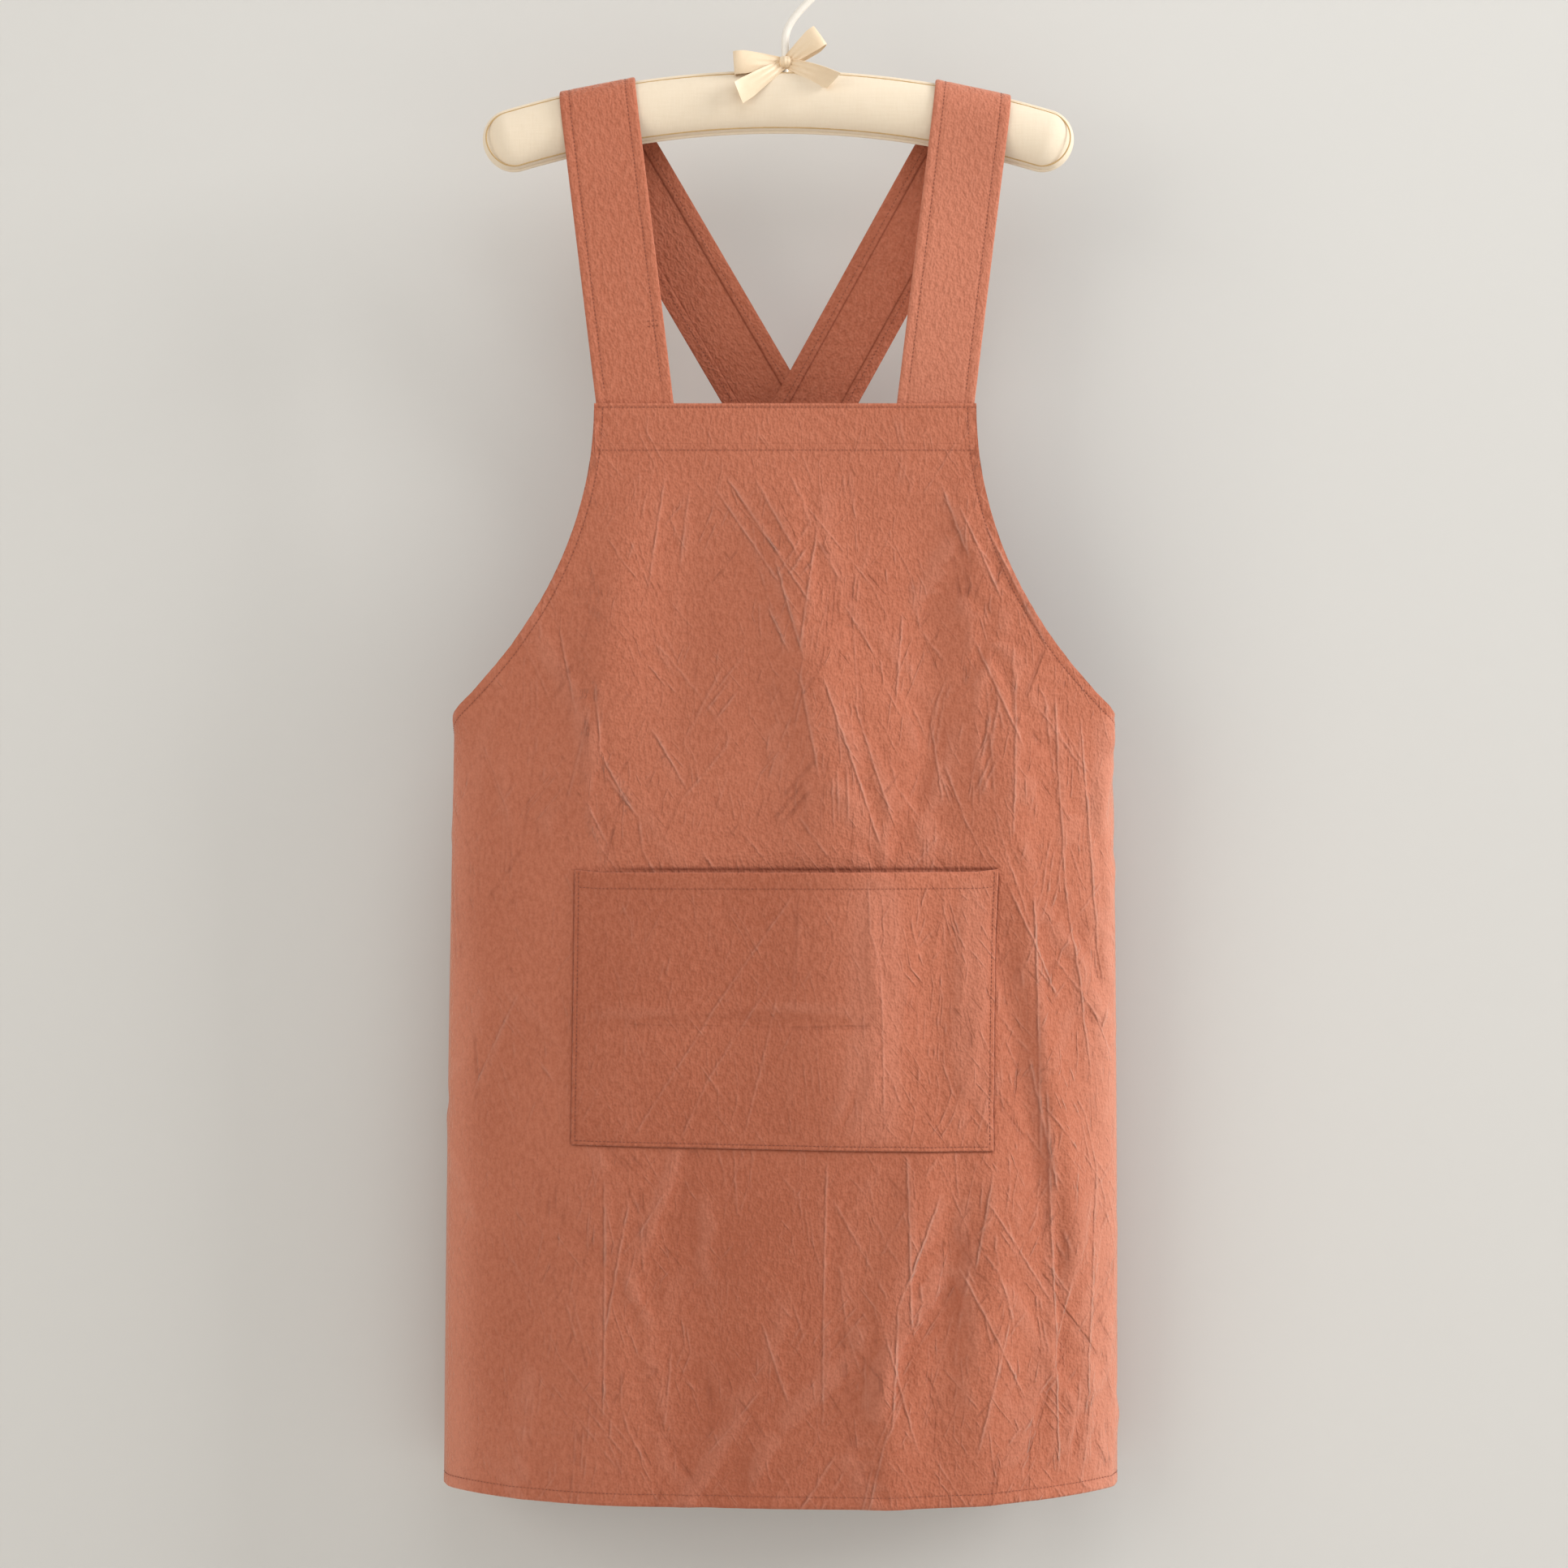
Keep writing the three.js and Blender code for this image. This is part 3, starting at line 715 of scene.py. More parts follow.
def strewn_creases(seed, count, low, high, share, length, width, steepness):
    """Creases strewn over a cut, upright or slanting, more and sharper where share is high. Each has
    one to three straight legs, and some lie in bundles side by side."""
    random = np.random.default_rng(seed)
    rows = []
    while len(rows) < count:
        place = random.uniform(low, high)
        here = float(share(*place))
        if random.uniform(0, crease_most) > here:
            continue
        leaning = random.choice(usual_leans, p=lean_chances)
        heading = math.radians(random.normal(leaning, lean_spread))
        heading = np.clip(heading, -steepest_lean, steepest_lean)
        wide = random.uniform(*width)
        high_by = wide * random.uniform(*steepness) * (0.25 + 0.85 * here)
        high_by *= 1 if random.uniform() < ridge_chance else -1
        legs = [place]
        for _ in range(random.integers(1, 4)):
            step = length * random.lognormal(0, 0.5)
            legs.append(legs[-1] + step * np.array((math.sin(heading), math.cos(heading))))
            turned = heading + math.radians(random.normal(0, leg_turn))
            heading = np.clip(turned, -steepest_lean, steepest_lean)
        bundle = random.integers(2, 4) if random.uniform() < bundle_chance else 1
        for member in range(bundle):
            moved = member * random.uniform(*bundle_apart)
            slid = member * random.uniform(*bundle_slide)
            for start, end in zip(legs[:-1], legs[1:]):
                rows.append((*(start + (moved, slid)), *(end + (moved, slid)), wide, high_by))
    return rows


fold_channels = 8
fold_reach, fold_border = 0.0038, 0.0030
fold_past_end = 0.004
fold_bow = 0.02
fold_end_fade, fold_side_fade = 0.010, 0.0016
far_aside = 9.0
crease_phase = 900


def fold_lines(across, down, creases):
    """Fold lines finer than the mesh, for the material. In each channel a point holds how far it is
    to one side of a crease, in widths of that crease, and how high the crease is there. Creases that
    come near each other go into different channels, and one that finds no free channel is left out."""
    lines = np.zeros((fold_channels, across.size, 3))
    lines[..., 0] = far_aside
    taken = np.zeros((fold_channels, across.size), bool)
    places = np.stack([across.ravel(), down.ravel()], axis=-1)
    margin = fold_reach + fold_border
    for *ends, width, height in creases:
        start, end = np.array(ends[:2]), np.array(ends[2:])
        low, high = np.minimum(start, end) - margin, np.maximum(start, end) + margin
        boxed = np.flatnonzero(((places > low) & (places < high)).all(axis=1))
        length = math.hypot(*(end - start))
        run = (end - start) / length
        along = (places[boxed] - start) @ run
        aside = (places[boxed] - start) @ np.array((run[1], -run[0]))
        from_end = np.minimum(along, length - along)
        around = (np.abs(aside) < margin) & (from_end > -fold_past_end)
        boxed, aside, from_end = boxed[around], aside[around], from_end[around]
        bowed = fold_bow * math.sin(crease_phase * start[0]) * from_end * (1 - from_end / length)
        fade = np.clip((from_end + 0.001) / min(fold_end_fade, 0.4 * length), 0, 1)
        fade = fade * np.clip((fold_reach - np.abs(aside)) / fold_side_fade, 0, 1)
        for channel in range(fold_channels):
            if boxed.size and not taken[channel, boxed].any():
                taken[channel, boxed] = True
                lines[channel, boxed, 0] = (aside + bowed) / width
                lines[channel, boxed, 1] = height * fade
                break
    return lines.reshape(fold_channels, *across.shape, 3)


crease_full = 0.0006


def cloth_marks(creased, painted_shading, outside, inside, lines):
    """Marks of a cloth wall for the linen: its creases, whose ridges get a painted highlight, its
    painted shading, lines of painted shade on both faces, and the channels of its fold lines. A ridge
    outside is a hollow inside."""
    # Painted highlight on crease ridges, and the painted shade and highlight patches
    painted_light = stacked(np.clip(creased / crease_full, -1, 1), painted_shading, 0)
    turned = lines * np.array((1, -1, 0))
    marks = {f"fold_{channel}": (lines[channel], turned[channel]) for channel in range(fold_channels)}
    return {"painted_light": (painted_light, painted_light * np.array((-1, 1, 1))), "shade": (outside, inside), **marks}


crease_reach = 6
crease_waver = 0.0022
hollow_share, hollow_aside = 0.6, 1.7


def crease_lift(across, down, creases):
    """How far sharp creases lift the cloth: each is a ridge with a hollow along one side."""
    lift = np.zeros_like(across)
    for from_across, from_down, to_across, to_down, width, height in creases:
        run = np.array((to_across - from_across, to_down - from_down))
        length = math.hypot(*run)
        run /= length
        along = ((across - from_across) * run[0] + (down - from_down) * run[1]) / length
        aside = (across - from_across) * run[1] - (down - from_down) * run[0]
        near = (along > 0) & (along < 1) & (np.abs(aside) < crease_reach * width)
        along, aside = along[near], aside[near]
        waver = min(0.8 * width, crease_waver)
        aside = aside + waver * np.sin(5 * along + crease_phase * from_across)
        ridge = bell(aside / width) - hollow_share * bell(aside / width - hollow_aside)
        lift[near] += height * ridge * np.sin(math.pi * along) ** 0.6
    return lift


def fold_lift(across, down):
    """How far the soft folds lift the cloth, fading out at the ends of each fold."""
    lift = np.zeros_like(across)
    for top_across, top_down, foot_across, foot_down, width, height in soft_folds:
        along = np.clip((down - top_down) / (foot_down - top_down), 0, 1)
        crest = top_across + (foot_across - top_across) * along
        lift += height * bell((across - crest) / width) * np.sin(math.pi * along) ** fold_fade
    return lift


# Ends of the pocket's sides on the cut, from its mouth to its foot
pocket_left = np.array([(-0.1343, 0.2992), (-0.1360, 0.4760)])
pocket_right = np.array([(0.1385, 0.2987), (0.1357, 0.4800)])
low, high = (-cut_half, 0.034), (cut_half, cut_length - 0.012)
line_width = 0.0008
line_rise, line_most = 1.45, 0.0011
thinnest_crease = 0.0028
body_creases = [(*row[:4], max(row[4], thinnest_crease), row[5]) for row in sharp_creases]
body_creases += strewn_creases(
    11, 460, low, high, crease_share, length=0.030, width=(0.0030, 0.0070), steepness=(0.08, 0.20)
)
deep_hem = (-0.205, 0.663, -0.015, 0.663, 0.0014, 0.00016)
body_lines = [
    (*row[:4], line_width, min(line_rise * row[5], line_most)) for row in sharp_creases
] + [deep_hem]
low, high = (-cut_half, 0.004), (cut_half, cut_length - 0.003)
body_lines += strewn_creases(
    12, 1600, low, high, crease_share, length=0.018, width=(0.0006, 0.0010), steepness=(0.40, 0.85)
)
body_lines += strewn_creases(
    13, 7000, low, high, crease_share, length=0.010, width=(0.0004, 0.0006), steepness=(0.45, 1.00)
)
# Lines are lower at both side folds, and higher left of the middle
line_places, line_shares = (-0.22, -0.12, 0.02, 0.18, 0.23), (0.6, 1.3, 1.0, 1.0, 0.6)
body_lines = [(*row[:5], row[5] * np.interp(row[0], line_places, line_shares)) for row in body_lines]


pocket_mouth, pocket_foot = 0.2988, 0.478
pocket_fade = 0.010
pressed_flat = 0.9


def pocket_sides(down):
    return (np.interp(down, side[:, 1], side[:, 0]) for side in (pocket_left, pocket_right))


def under_pocket(across, down):
    """1 well under the pocket, where the sewn cloth lies flat, and 0 outside it."""
    left, right = pocket_sides(down)
    from_side = np.minimum(across - left, right - across)
    from_end = np.minimum(down - pocket_mouth, pocket_foot - down)
    return np.clip(np.minimum(from_side, from_end) / pocket_fade, 0, 1)


def body_lift(across, down):
    """Soft folds and creases of the body's cloth, and the creases alone."""
    creases = crease_lift(across, down, body_creases) * (1 - pressed_flat * under_pocket(across, down))
    return fold_lift(across, down) + creases, creases


armhole_line = cubic(armhole_corners, 160)


def armhole_distance(across, down):
    away = np.abs(across)
    return np.min([np.hypot(away - at[0], down - at[1]) for at in armhole_line], axis=0)


hem_turn = 0.0006
hem_step = 0.0009
hem_outside = 0.3
seam_sink = 0.0004
seam_width = 0.0011
edge_round = 0.0013
stitch_shade = 0.2
shade_width = 0.0007
mouth_shadow = 0.2986
mouth_shade, mouth_shade_width, mouth_shade_fade = 0.8, 0.0013, 0.06
beside_shade, beside_shade_width, beside_shade_gap = 0.6, 0.0008, 0.0005
pucker_height, pucker_reach = 0.00028, 0.006
body_hems = [
    # the edge it follows, width of the turned hem, distance of its stitches from the edge
    ("armhole", 0.0065, 0.0056),
    ("bottom", 0.0095, 0.0080),
    ("back", 0.0095, 0.0080),
    ("band", bib_band, bib_band + 0.0006),
    ("top", 0.0, 0.0026),
]


def rounded_edge(distance):
    """How far the outer face falls towards the inner one where the cloth is folded over its edge."""
    into_edge = 1 - np.clip(distance / edge_round, 0, 1)
    return 0.75 * cloth_thick * (1 - np.sqrt(1 - into_edge**2))


def body_hem(across, down):
    """What the turned hems add inside, how far the outside sinks at stitches and edges, the small
    puckers along the armholes, and a mark of painted shade: along stitches, and a painted shadow in
    the pocket's mouth and beside its edges."""
    on_bib = np.abs(across) <= bib_half
    edges = {
        "armhole": armhole_distance(across, down),
        "bottom": cut_length - down,
        "back": cut_half - np.abs(across),
        "band": np.where(on_bib, down, 1),
        "top": np.where(on_bib, down, 1),
    }
    added = np.zeros_like(across)
    sunk = np.zeros_like(across)
    line = np.full_like(across, far_aside)
    for edge, width, stitched in body_hems:
        added = np.maximum(added, np.clip((width - edges[edge]) / hem_step + 0.5, 0, 1))
        sunk = np.maximum(sunk, bell((edges[edge] - stitched) / seam_width))
        aside = (edges[edge] - stitched) / shade_width
        line = np.where(np.abs(aside) < np.abs(line), aside, line)
    strength = np.full_like(line, stitch_shade)
    aside = (mouth_shadow - down) / mouth_shade_width
    in_mouth = (np.abs(aside) < np.abs(line)) & (np.abs(across) < pocket_right[0, 0]) & (aside > -3)
    line = np.where(in_mouth, aside, line)
    mouth_grows = np.clip((across - pocket_left[0, 0]) / mouth_shade_fade, 0, 1)
    strength = np.where(in_mouth, mouth_shade * mouth_grows, strength)
    left, right = pocket_sides(down)
    below = down - np.interp(across, *np.array((pocket_left[1], pocket_right[1])).T)
    outside = np.maximum(np.maximum(left - across, across - right), below)
    beside = (outside - beside_shade_gap) / beside_shade_width
    at_pocket = (np.abs(beside) < np.abs(line)) & (down > mouth_shadow + 0.001)
    line = np.where(at_pocket, beside, line)
    strength = np.where(at_pocket, beside_shade, strength)
    rim = np.min([edges[edge] for edge in ("armhole", "top", "bottom", "back")], axis=0)
    ripple_across = np.sin(across * 540 + 3 * np.sin(down * 90))
    ripple_down = np.sin(down * 560 + 2 * np.sin(across * 70))
    ripple = pucker_height * ripple_across * ripple_down
    gathered = ripple * np.exp(-edges["armhole"] / pucker_reach)
    shade = stacked(line, strength, 0)
    return hem_turn * added, seam_sink * sunk + rounded_edge(rim), gathered, shade


bib_columns, hole_columns, wing_columns = 50, 64, 16
bib_foot, fold_foot = 0.100, 0.236
fold_top = 0.226


def edge_steps(length, fine, coarse, growth):
    """Places from 0 to 1 along a length, close together near both ends."""
    steps = [0.0]
    while steps[-1] < length:
        nearest_end = min(steps[-1], length - steps[-1])
        steps.append(steps[-1] + min(coarse, fine + growth * nearest_end))
    return np.array(steps) / steps[-1]


def body_cut():
    """The flat cut as a grid: columns run from the bib's top and the armholes down to the hem."""
    measure = armhole_line[:, 0] + 0.2 * armhole_line[:, 1]
    at_fold = np.interp(fold_top, armhole_line[:, 0], measure)
    stops = np.r_[
        np.linspace(measure[0], at_fold, hole_columns + 1)[1:],
        np.linspace(at_fold, measure[-1], wing_columns + 1)[1:],
    ]
    top = np.r_[
        np.c_[np.linspace(0, bib_half, bib_columns + 1), np.zeros(bib_columns + 1)],
        spaced(armhole_line, measure, stops),
    ]
    foot = np.r_[
        np.linspace(0, bib_foot, bib_columns + 1),
        np.linspace(bib_foot, fold_foot, hole_columns + 1)[1:],
        np.linspace(fold_foot, cut_half, wing_columns + 1)[1:],
    ]
    rows = edge_steps(cut_length, fine=0.0011, coarse=0.0041, growth=0.10)[::-1, None]
    across = top[:, 0] * (1 - rows) + foot * rows
    down = top[:, 1] * (1 - rows) + cut_length * rows
    across = np.c_[-across[:, :0:-1], across]
    down = np.c_[down[:, :0:-1], down]
    return across, down


painted_shading_patches = [
    # middle across, its spread, where it begins going down, how far until it is full, depth of painted
    # shade (below 0 a painted highlight)
    (-0.030, 0.075, 0.36, 0.14, 0.85),
    (0.090, 0.050, 0.44, 0.10, 0.35),
    (-0.228, 0.019, 0.19, 0.06, -0.8),
    (0.228, 0.022, 0.19, 0.06, -1.1),
]


def body_painted_shading(across, down):
    """Painted shade in the middle of the skirt and painted highlight along both side folds."""
    deep = np.zeros_like(across)
    for middle, spread, begins, grows, depth in painted_shading_patches:
        deep += depth * bell((across - middle) / spread) * np.clip((down - begins) / grows, 0, 1)
    return deep


across, down = body_cut()
relief, creased = body_lift(across, down)
added, sunk, gathered, shade = body_hem(across, down)
body_outer = hang(across, down, cloth_thick / 2 + relief + hem_outside * added + gathered - sunk)
body_inner = hang(across, down, -cloth_thick / 2 + relief - added + gathered)
body_plan = stacked(across, -down)
body_folds = fold_lines(across, down, body_lines)
body_marks = cloth_marks(creased, body_painted_shading(across, down), shade, shade, body_folds)
body = cloth_wall("linen_body", body_outer, body_inner, body_plan, body_marks)

linen_light = (0.572, 0.198, 0.117, 1)
linen_deep = (0.390, 0.113, 0.060, 1)
linen_highlight = (0.700, 0.330, 0.240, 1)
linen_shade = (0.200, 0.045, 0.022, 1)
linen, tree, shader = new_material("washed_linen", 0.9)
place = add_node(tree, "UVMap", uv_map="cut").outputs[0]
weave = add_node(tree, "Group", {"Vector": place, "Threads": 1350}, node_tree=plain_weave)


def calc(operation, *values):
    return math_node(tree, operation, *values)


def peak(value, sharpness=1.0):
    """1 where a value is 0, falling away to both sides."""
    return calc("EXPONENT", calc("MULTIPLY", calc("MULTIPLY", value, value), -sharpness))


def ranged(value, low, high, to_low=0.0, to_high=1.0):
    """A value stretched from one range to another, and kept within it."""
    links = {"Value": value, "From Min": low, "From Max": high, "To Min": to_low, "To Max": to_high}
    return add_node(tree, "MapRange", links).outputs[0]


def mark(name):
    """The axes of a mark that the cloth's wall carries."""
    carried = add_node(tree, "Attribute", attribute_name=name)
    return add_node(tree, "SeparateXYZ", {0: carried.outputs["Vector"]}).outputs


def grain(stretch, detail, lean=0):
    """Pebbled crepe of the washed cloth, as noise stretched over its cut and turned."""
    turn = (0, 0, math.radians(lean))
    drawn = add_node(tree, "Mapping", {"Vector": place, "Rotation": turn, "Scale": stretch}).outputs[0]
    links = {"Vector": drawn, "Scale": 1.0, "Detail": detail, "Roughness": 0.6}
    return add_node(tree, "TexNoise", links).outputs["Fac"]


# Grain, and the fold lines: a raised ridge with a hollow beside it, wavering and broken up; the ridge
# also gets a painted highlight and the hollow painted shade
pebbles = grain((760, 600, 1), 0.3)
crepe_right = grain((420, 200, 1), 0.6, lean=34)
crepe_left = grain((380, 190, 1), 0.6, lean=-30)
height = calc("MULTIPLY", weave.outputs["Height"], 0.00003)
for layer, depth in ((pebbles, 0.0006), (crepe_right, 0.0007), (crepe_left, 0.0007)):
    height = calc("MULTIPLY_ADD", layer, depth, height)
ridge_highlight = hollow_shade = 0.0
wander = calc("MULTIPLY_ADD", noise(tree, place, 130.0, 2.0), 2.0, -1.0)
break_up = ranged(noise(tree, place, 75.0, 1.0), 0.3, 0.65, 0.35, 1.15)
for channel in range(fold_channels):
    fold = mark(f"fold_{channel}")
    aside = calc("ADD", fold["X"], wander)
    crest = calc("MULTIPLY", fold["Y"], break_up)
    rise = calc("MULTIPLY", peak(aside), crest)
    height = calc("ADD", height, rise)
    # Painted shade in the hollow beside each ridge, and a painted highlight on its crest
    foot = calc("MULTIPLY", peak(calc("ADD", aside, 1.5), 1.6), calc("ABSOLUTE", crest))
    ridge_highlight = calc("ADD", calc("MAXIMUM", rise, 0.0), ridge_highlight)
    hollow_shade = calc("ADD", calc("SUBTRACT", foot, calc("MINIMUM", rise, 0.0)), hollow_shade)

# Random tone, patches of painted shade and painted highlight, crease ridges with a painted highlight,
# and lines of painted shade at stitches, edges and in hollows
tone = ranged(calc("ADD", calc("ADD", pebbles, crepe_right), crepe_left), 1.1, 1.9)
painted_light_mark, line = mark("painted_light"), mark("shade")
mixed = calc("MULTIPLY_ADD", tone, 0.45, calc("MULTIPLY", noise(tree, place, 14.0, 4.0), 0.55))
# Painted shade patches deepen the colour; painted highlight patches and ridges blend it towards a pale
# colour
mixed = calc("MULTIPLY_ADD", painted_light_mark["Y"], -0.5, mixed)
painted_highlight = calc("MULTIPLY", calc("MAXIMUM", painted_light_mark["X"], 0.0), 0.12)
painted_highlight = calc("MULTIPLY_ADD", calc("MINIMUM", painted_light_mark["Y"], 0.0), -0.3, painted_highlight)
painted_highlight = calc("MINIMUM", calc("MULTIPLY_ADD", ridge_highlight, 400.0, painted_highlight), 0.6)
# Painted shade along stitches, a painted shadow in the pocket's mouth and beside its edges, and in
# crease hollows
painted_shade = calc("MULTIPLY", peak(line["X"]), line["Y"])
painted_shade = calc("MAXIMUM", painted_shade, calc("MINIMUM", calc("MULTIPLY", hollow_shade, 420.0), 0.28))
highlighted = blend(tree, painted_highlight, blend(tree, mixed, linen_deep, linen_light), linen_highlight)
shaded = blend(tree, painted_shade, highlighted, linen_shade)
wire(shader, {"Base Color": shaded, "Normal": bumped(tree, height, 1.0, 1.0)})
wire(shader, {"Roughness": ranged(tone, 0.0, 1.0, 0.96, 0.84), "Specular IOR Level": 0.25})
wire(shader, {"Sheen Weight": 0.45, "Sheen Roughness": 0.35, "Sheen Tint": (1.0, 0.80, 0.69, 1)})
body.data.materials.append(linen)

stitch_length = 0.0017
stitch_pitch = 0.0026
stitch_thick = 0.00050
stitch_rise, body_stitch_rise = 0.0001, 0.00012
normal_step = 0.001
bpy.ops.mesh.primitive_uv_sphere_add(segments=6, ring_count=4, radius=0.5)
single_stitch = bpy.context.object
stitch_points = mesh_points(single_stitch)
stitch_faces = [list(face.vertices) for face in single_stitch.data.polygons]
bpy.data.objects.remove(single_stitch)

thread, tree, shader = new_material("sewing_thread", 0.7)
twist = noise(tree, object_place(tree), 1500.0, 1.0)
tint = blend(tree, twist, (0.16, 0.040, 0.022, 1), (0.27, 0.075, 0.042, 1))
wire(shader, {"Base Color": tint, "Normal": bumped(tree, twist, 0.5, 0.0002)})


def sew(name, seams):
    """Rows of stitches along seams, each seam its points and the cloth's normals there."""
    vertices, faces = [], []
    for points, normals in seams:
        travelled = travelled_along(points)
        middles = np.arange(stitch_pitch / 2, travelled[-1], stitch_pitch)
        centre = spaced(points, travelled, middles)
        up = spaced(normals, travelled, middles)
        ahead = unit(np.gradient(centre, axis=0))
        aside = np.cross(ahead, up)
        shape = (
            stitch_points[None, :, 2:3] * stitch_length * ahead[:, None]
            + stitch_points[None, :, 0:1] * stitch_thick * aside[:, None]
            + stitch_points[None, :, 1:2] * stitch_thick * up[:, None]
        )
        for stitch in centre[:, None] + shape:
            faces += [[corner + len(vertices) for corner in face] for face in stitch_faces]
            vertices += stitch.tolist()
    mesh = bpy.data.meshes.new(name)
    mesh.from_pydata(vertices, [], faces)
    stitches = bpy.data.objects.new(name, mesh)
    bpy.context.collection.objects.link(stitches)
    bpy.ops.object.select_all(action="DESELECT")
    stitches.select_set(True)
    bpy.context.view_layer.objects.active = stitches
    bpy.ops.object.shade_smooth()
    mesh.materials.append(thread)
    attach(stitches, "root")
    return stitches


def lifted_seam(across, down, lift, above):
    """A sewn line over the cut: its points, a little above the lifted cloth, and the normals there."""
    points = hang(across, down, lift)
    normals = (hang(across, down, lift + normal_step) - points) / normal_step
    return points + above * normals, normals


def body_seam(across, down):
    relief, _ = body_lift(across, down)
    added, sunk, gathered, _ = body_hem(across, down)
    lift = cloth_thick / 2 + relief + hem_outside * added + gathered - sunk
    return lifted_seam(across, down, lift, body_stitch_rise)


sewn_at = {edge: stitched for edge, _, stitched in body_hems}
run = unit(np.gradient(armhole_line, axis=0))
armhole_seam = armhole_line + sewn_at["armhole"] * np.c_[-run[:, 1], run[:, 0]]
armhole_seam = armhole_seam[armhole_seam[:, 0] < cut_half - 0.004]
along_band = np.linspace(-bib_half + 0.002, bib_half - 0.002, 240)
along_hem = np.linspace(-cut_half + 0.004, cut_half - 0.004, 500)
along_back = np.linspace(0.246, cut_length - 0.004, 300)
body_stitches = sew(
    "body_stitches",
    [
        body_seam(armhole_seam[:, 0], armhole_seam[:, 1]),
        body_seam(-armhole_seam[:, 0], armhole_seam[:, 1]),
        body_seam(along_band, np.full_like(along_band, sewn_at["band"])),
        body_seam(along_band, np.full_like(along_band, sewn_at["top"])),
        body_seam(along_hem, np.full_like(along_hem, cut_length - sewn_at["bottom"])),
        body_seam(np.full_like(along_back, cut_half - sewn_at["back"]), along_back),
        body_seam(np.full_like(along_back, -cut_half + sewn_at["back"]), along_back),
    ],
)
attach(body, "root")
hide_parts("apron_body")


# Patch pocket: one wide piece of the same linen, turned in at its edges and top-stitched to the
# skirt along the sides and the bottom. Its mouth has a wider hem and sags a little open.
pocket_gap = 0.0006
mouth_open = 0.009
mouth_fade = 1.3
mouth_hem = 0.0110
mouth_dip = 0.0016
mouth_skew = 1.45
dip_left, dip_right = 0.06, 0.05
pocket_stitched = 0.0028
pocket_sink = 0.0003
pocket_shade = 0.16
pocket_wide, pocket_tall = 0.2725, 0.1790
pocket_held = 0.006
mouth_hem_step, mouth_hem_thick = 0.001, 0.0003
thinnest_pocket_crease = 0.0026
pocket_creases = [
    # across and down at the top, across and down at the foot, width, height, in millimetres
    (55, 314, 63, 405, 3.5, 1),
    (-124, 399, 55, 398, 5, -1.3),
    (8, 311, -85, 470, 2, 0.2),
    (18, 324, -64, 433, 2, 0.2),
    (-80, 319, -82, 355, 2, 0.3),
    (-42, 314, -39, 361, 2, 0.3),
    (10, 314, 7, 392, 2, 0.3),
    (86, 309, 76, 397, 3, 0.7),
    (104, 306, 97, 387, 3, 0.7),
    (120, 314, 108, 418, 3, 0.7),
    (129, 356, 119, 455, 3, 0.6),
    (71, 407, 40, 470, 4, 0.7),
    (92, 397, 82, 465, 3, 0.6),
    (110, 413, 124, 471, 3, 0.5),
    (50, 413, 29, 465, 4, 0.6),
    (-18, 412, -23, 464, 2, 0.3),
]
pocket_creases = metres(pocket_creases)
pocket_folds = [
    # across, width, height, in millimetres
    (60, 13, 2.6),
    (93, 13, -1.6),
    (120, 10, 1.6),
    (-40, 30, -1),
]
pocket_folds = metres(pocket_folds)


def pocket_share(across, down):
    return 0.45 + 0.7 * bell((across - 0.11) / 0.05)


pocket_pressed = [
    # fine folds: across and down at both ends, height, in millimetres
    (9.3, 311.2, -52, 401, 0.46),
    (-47, 395, -95.8, 472, 0.4),
    (-5, 367.8, -50, 438, 0.42),
    (-46, 431, -67, 476.6, 0.36),
    (-2.3, 375, -24.8, 472, 0.36),
    (9, 312.2, 7.9, 393, -0.36),
    (53.4, 303, 55.2, 342, 0.5),
    (55.2, 338, 61.8, 361, 0.45),
    (61.5, 356, 65.1, 464.9, 0.45),
    (-45.5, 326.4, -47.3, 353.3, 0.26),
    (-100.6, 393, -100.6, 423.5, 0.26),
    (-114.6, 434.3, -129, 463.2, 0.3),
    (101.9, 303, 103.6, 351.7, 0.45),
    (134, 440, 124.4, 474, 0.45),
    (0, 400, 60, 398.5, -0.5),
    (-105, 398.5, 4, 400, -0.24),
]
pocket_pressed = metres(pocket_pressed)
pocket_lines = [(*ends, line_width, height) for *ends, height in pocket_pressed]
low, high = (-0.132, 0.304), (0.134, 0.462)
pocket_lines += strewn_creases(
    24, 900, low, high, pocket_share, length=0.012, width=(0.0004, 0.0007), steepness=(0.45, 0.95)
)
pocket_creases = [(*row[:4], max(row[4], thinnest_pocket_crease), row[5]) for row in pocket_creases]
low, high = (-0.132, 0.312), (0.134, 0.450)
pocket_creases += strewn_creases(
    23, 60, low, high, pocket_share, length=0.030, width=(0.0026, 0.0055), steepness=(0.04, 0.09)
)


def pocket_place(part, drop):
    """Where a point of the pocket lies on the body's cut; its mouth dips between the corners."""
    left = pocket_left[0] + drop[..., None] * (pocket_left[1] - pocket_left[0])
    right = pocket_right[0] + drop[..., None] * (pocket_right[1] - pocket_right[0])
    place = left + part[..., None] * (right - left)
    between = np.clip(np.minimum(part / dip_left, (1 - part) / dip_right), 0, 1)
    dip = mouth_dip * between * (1 - drop) ** 6
    return place[..., 0], place[..., 1] + dip


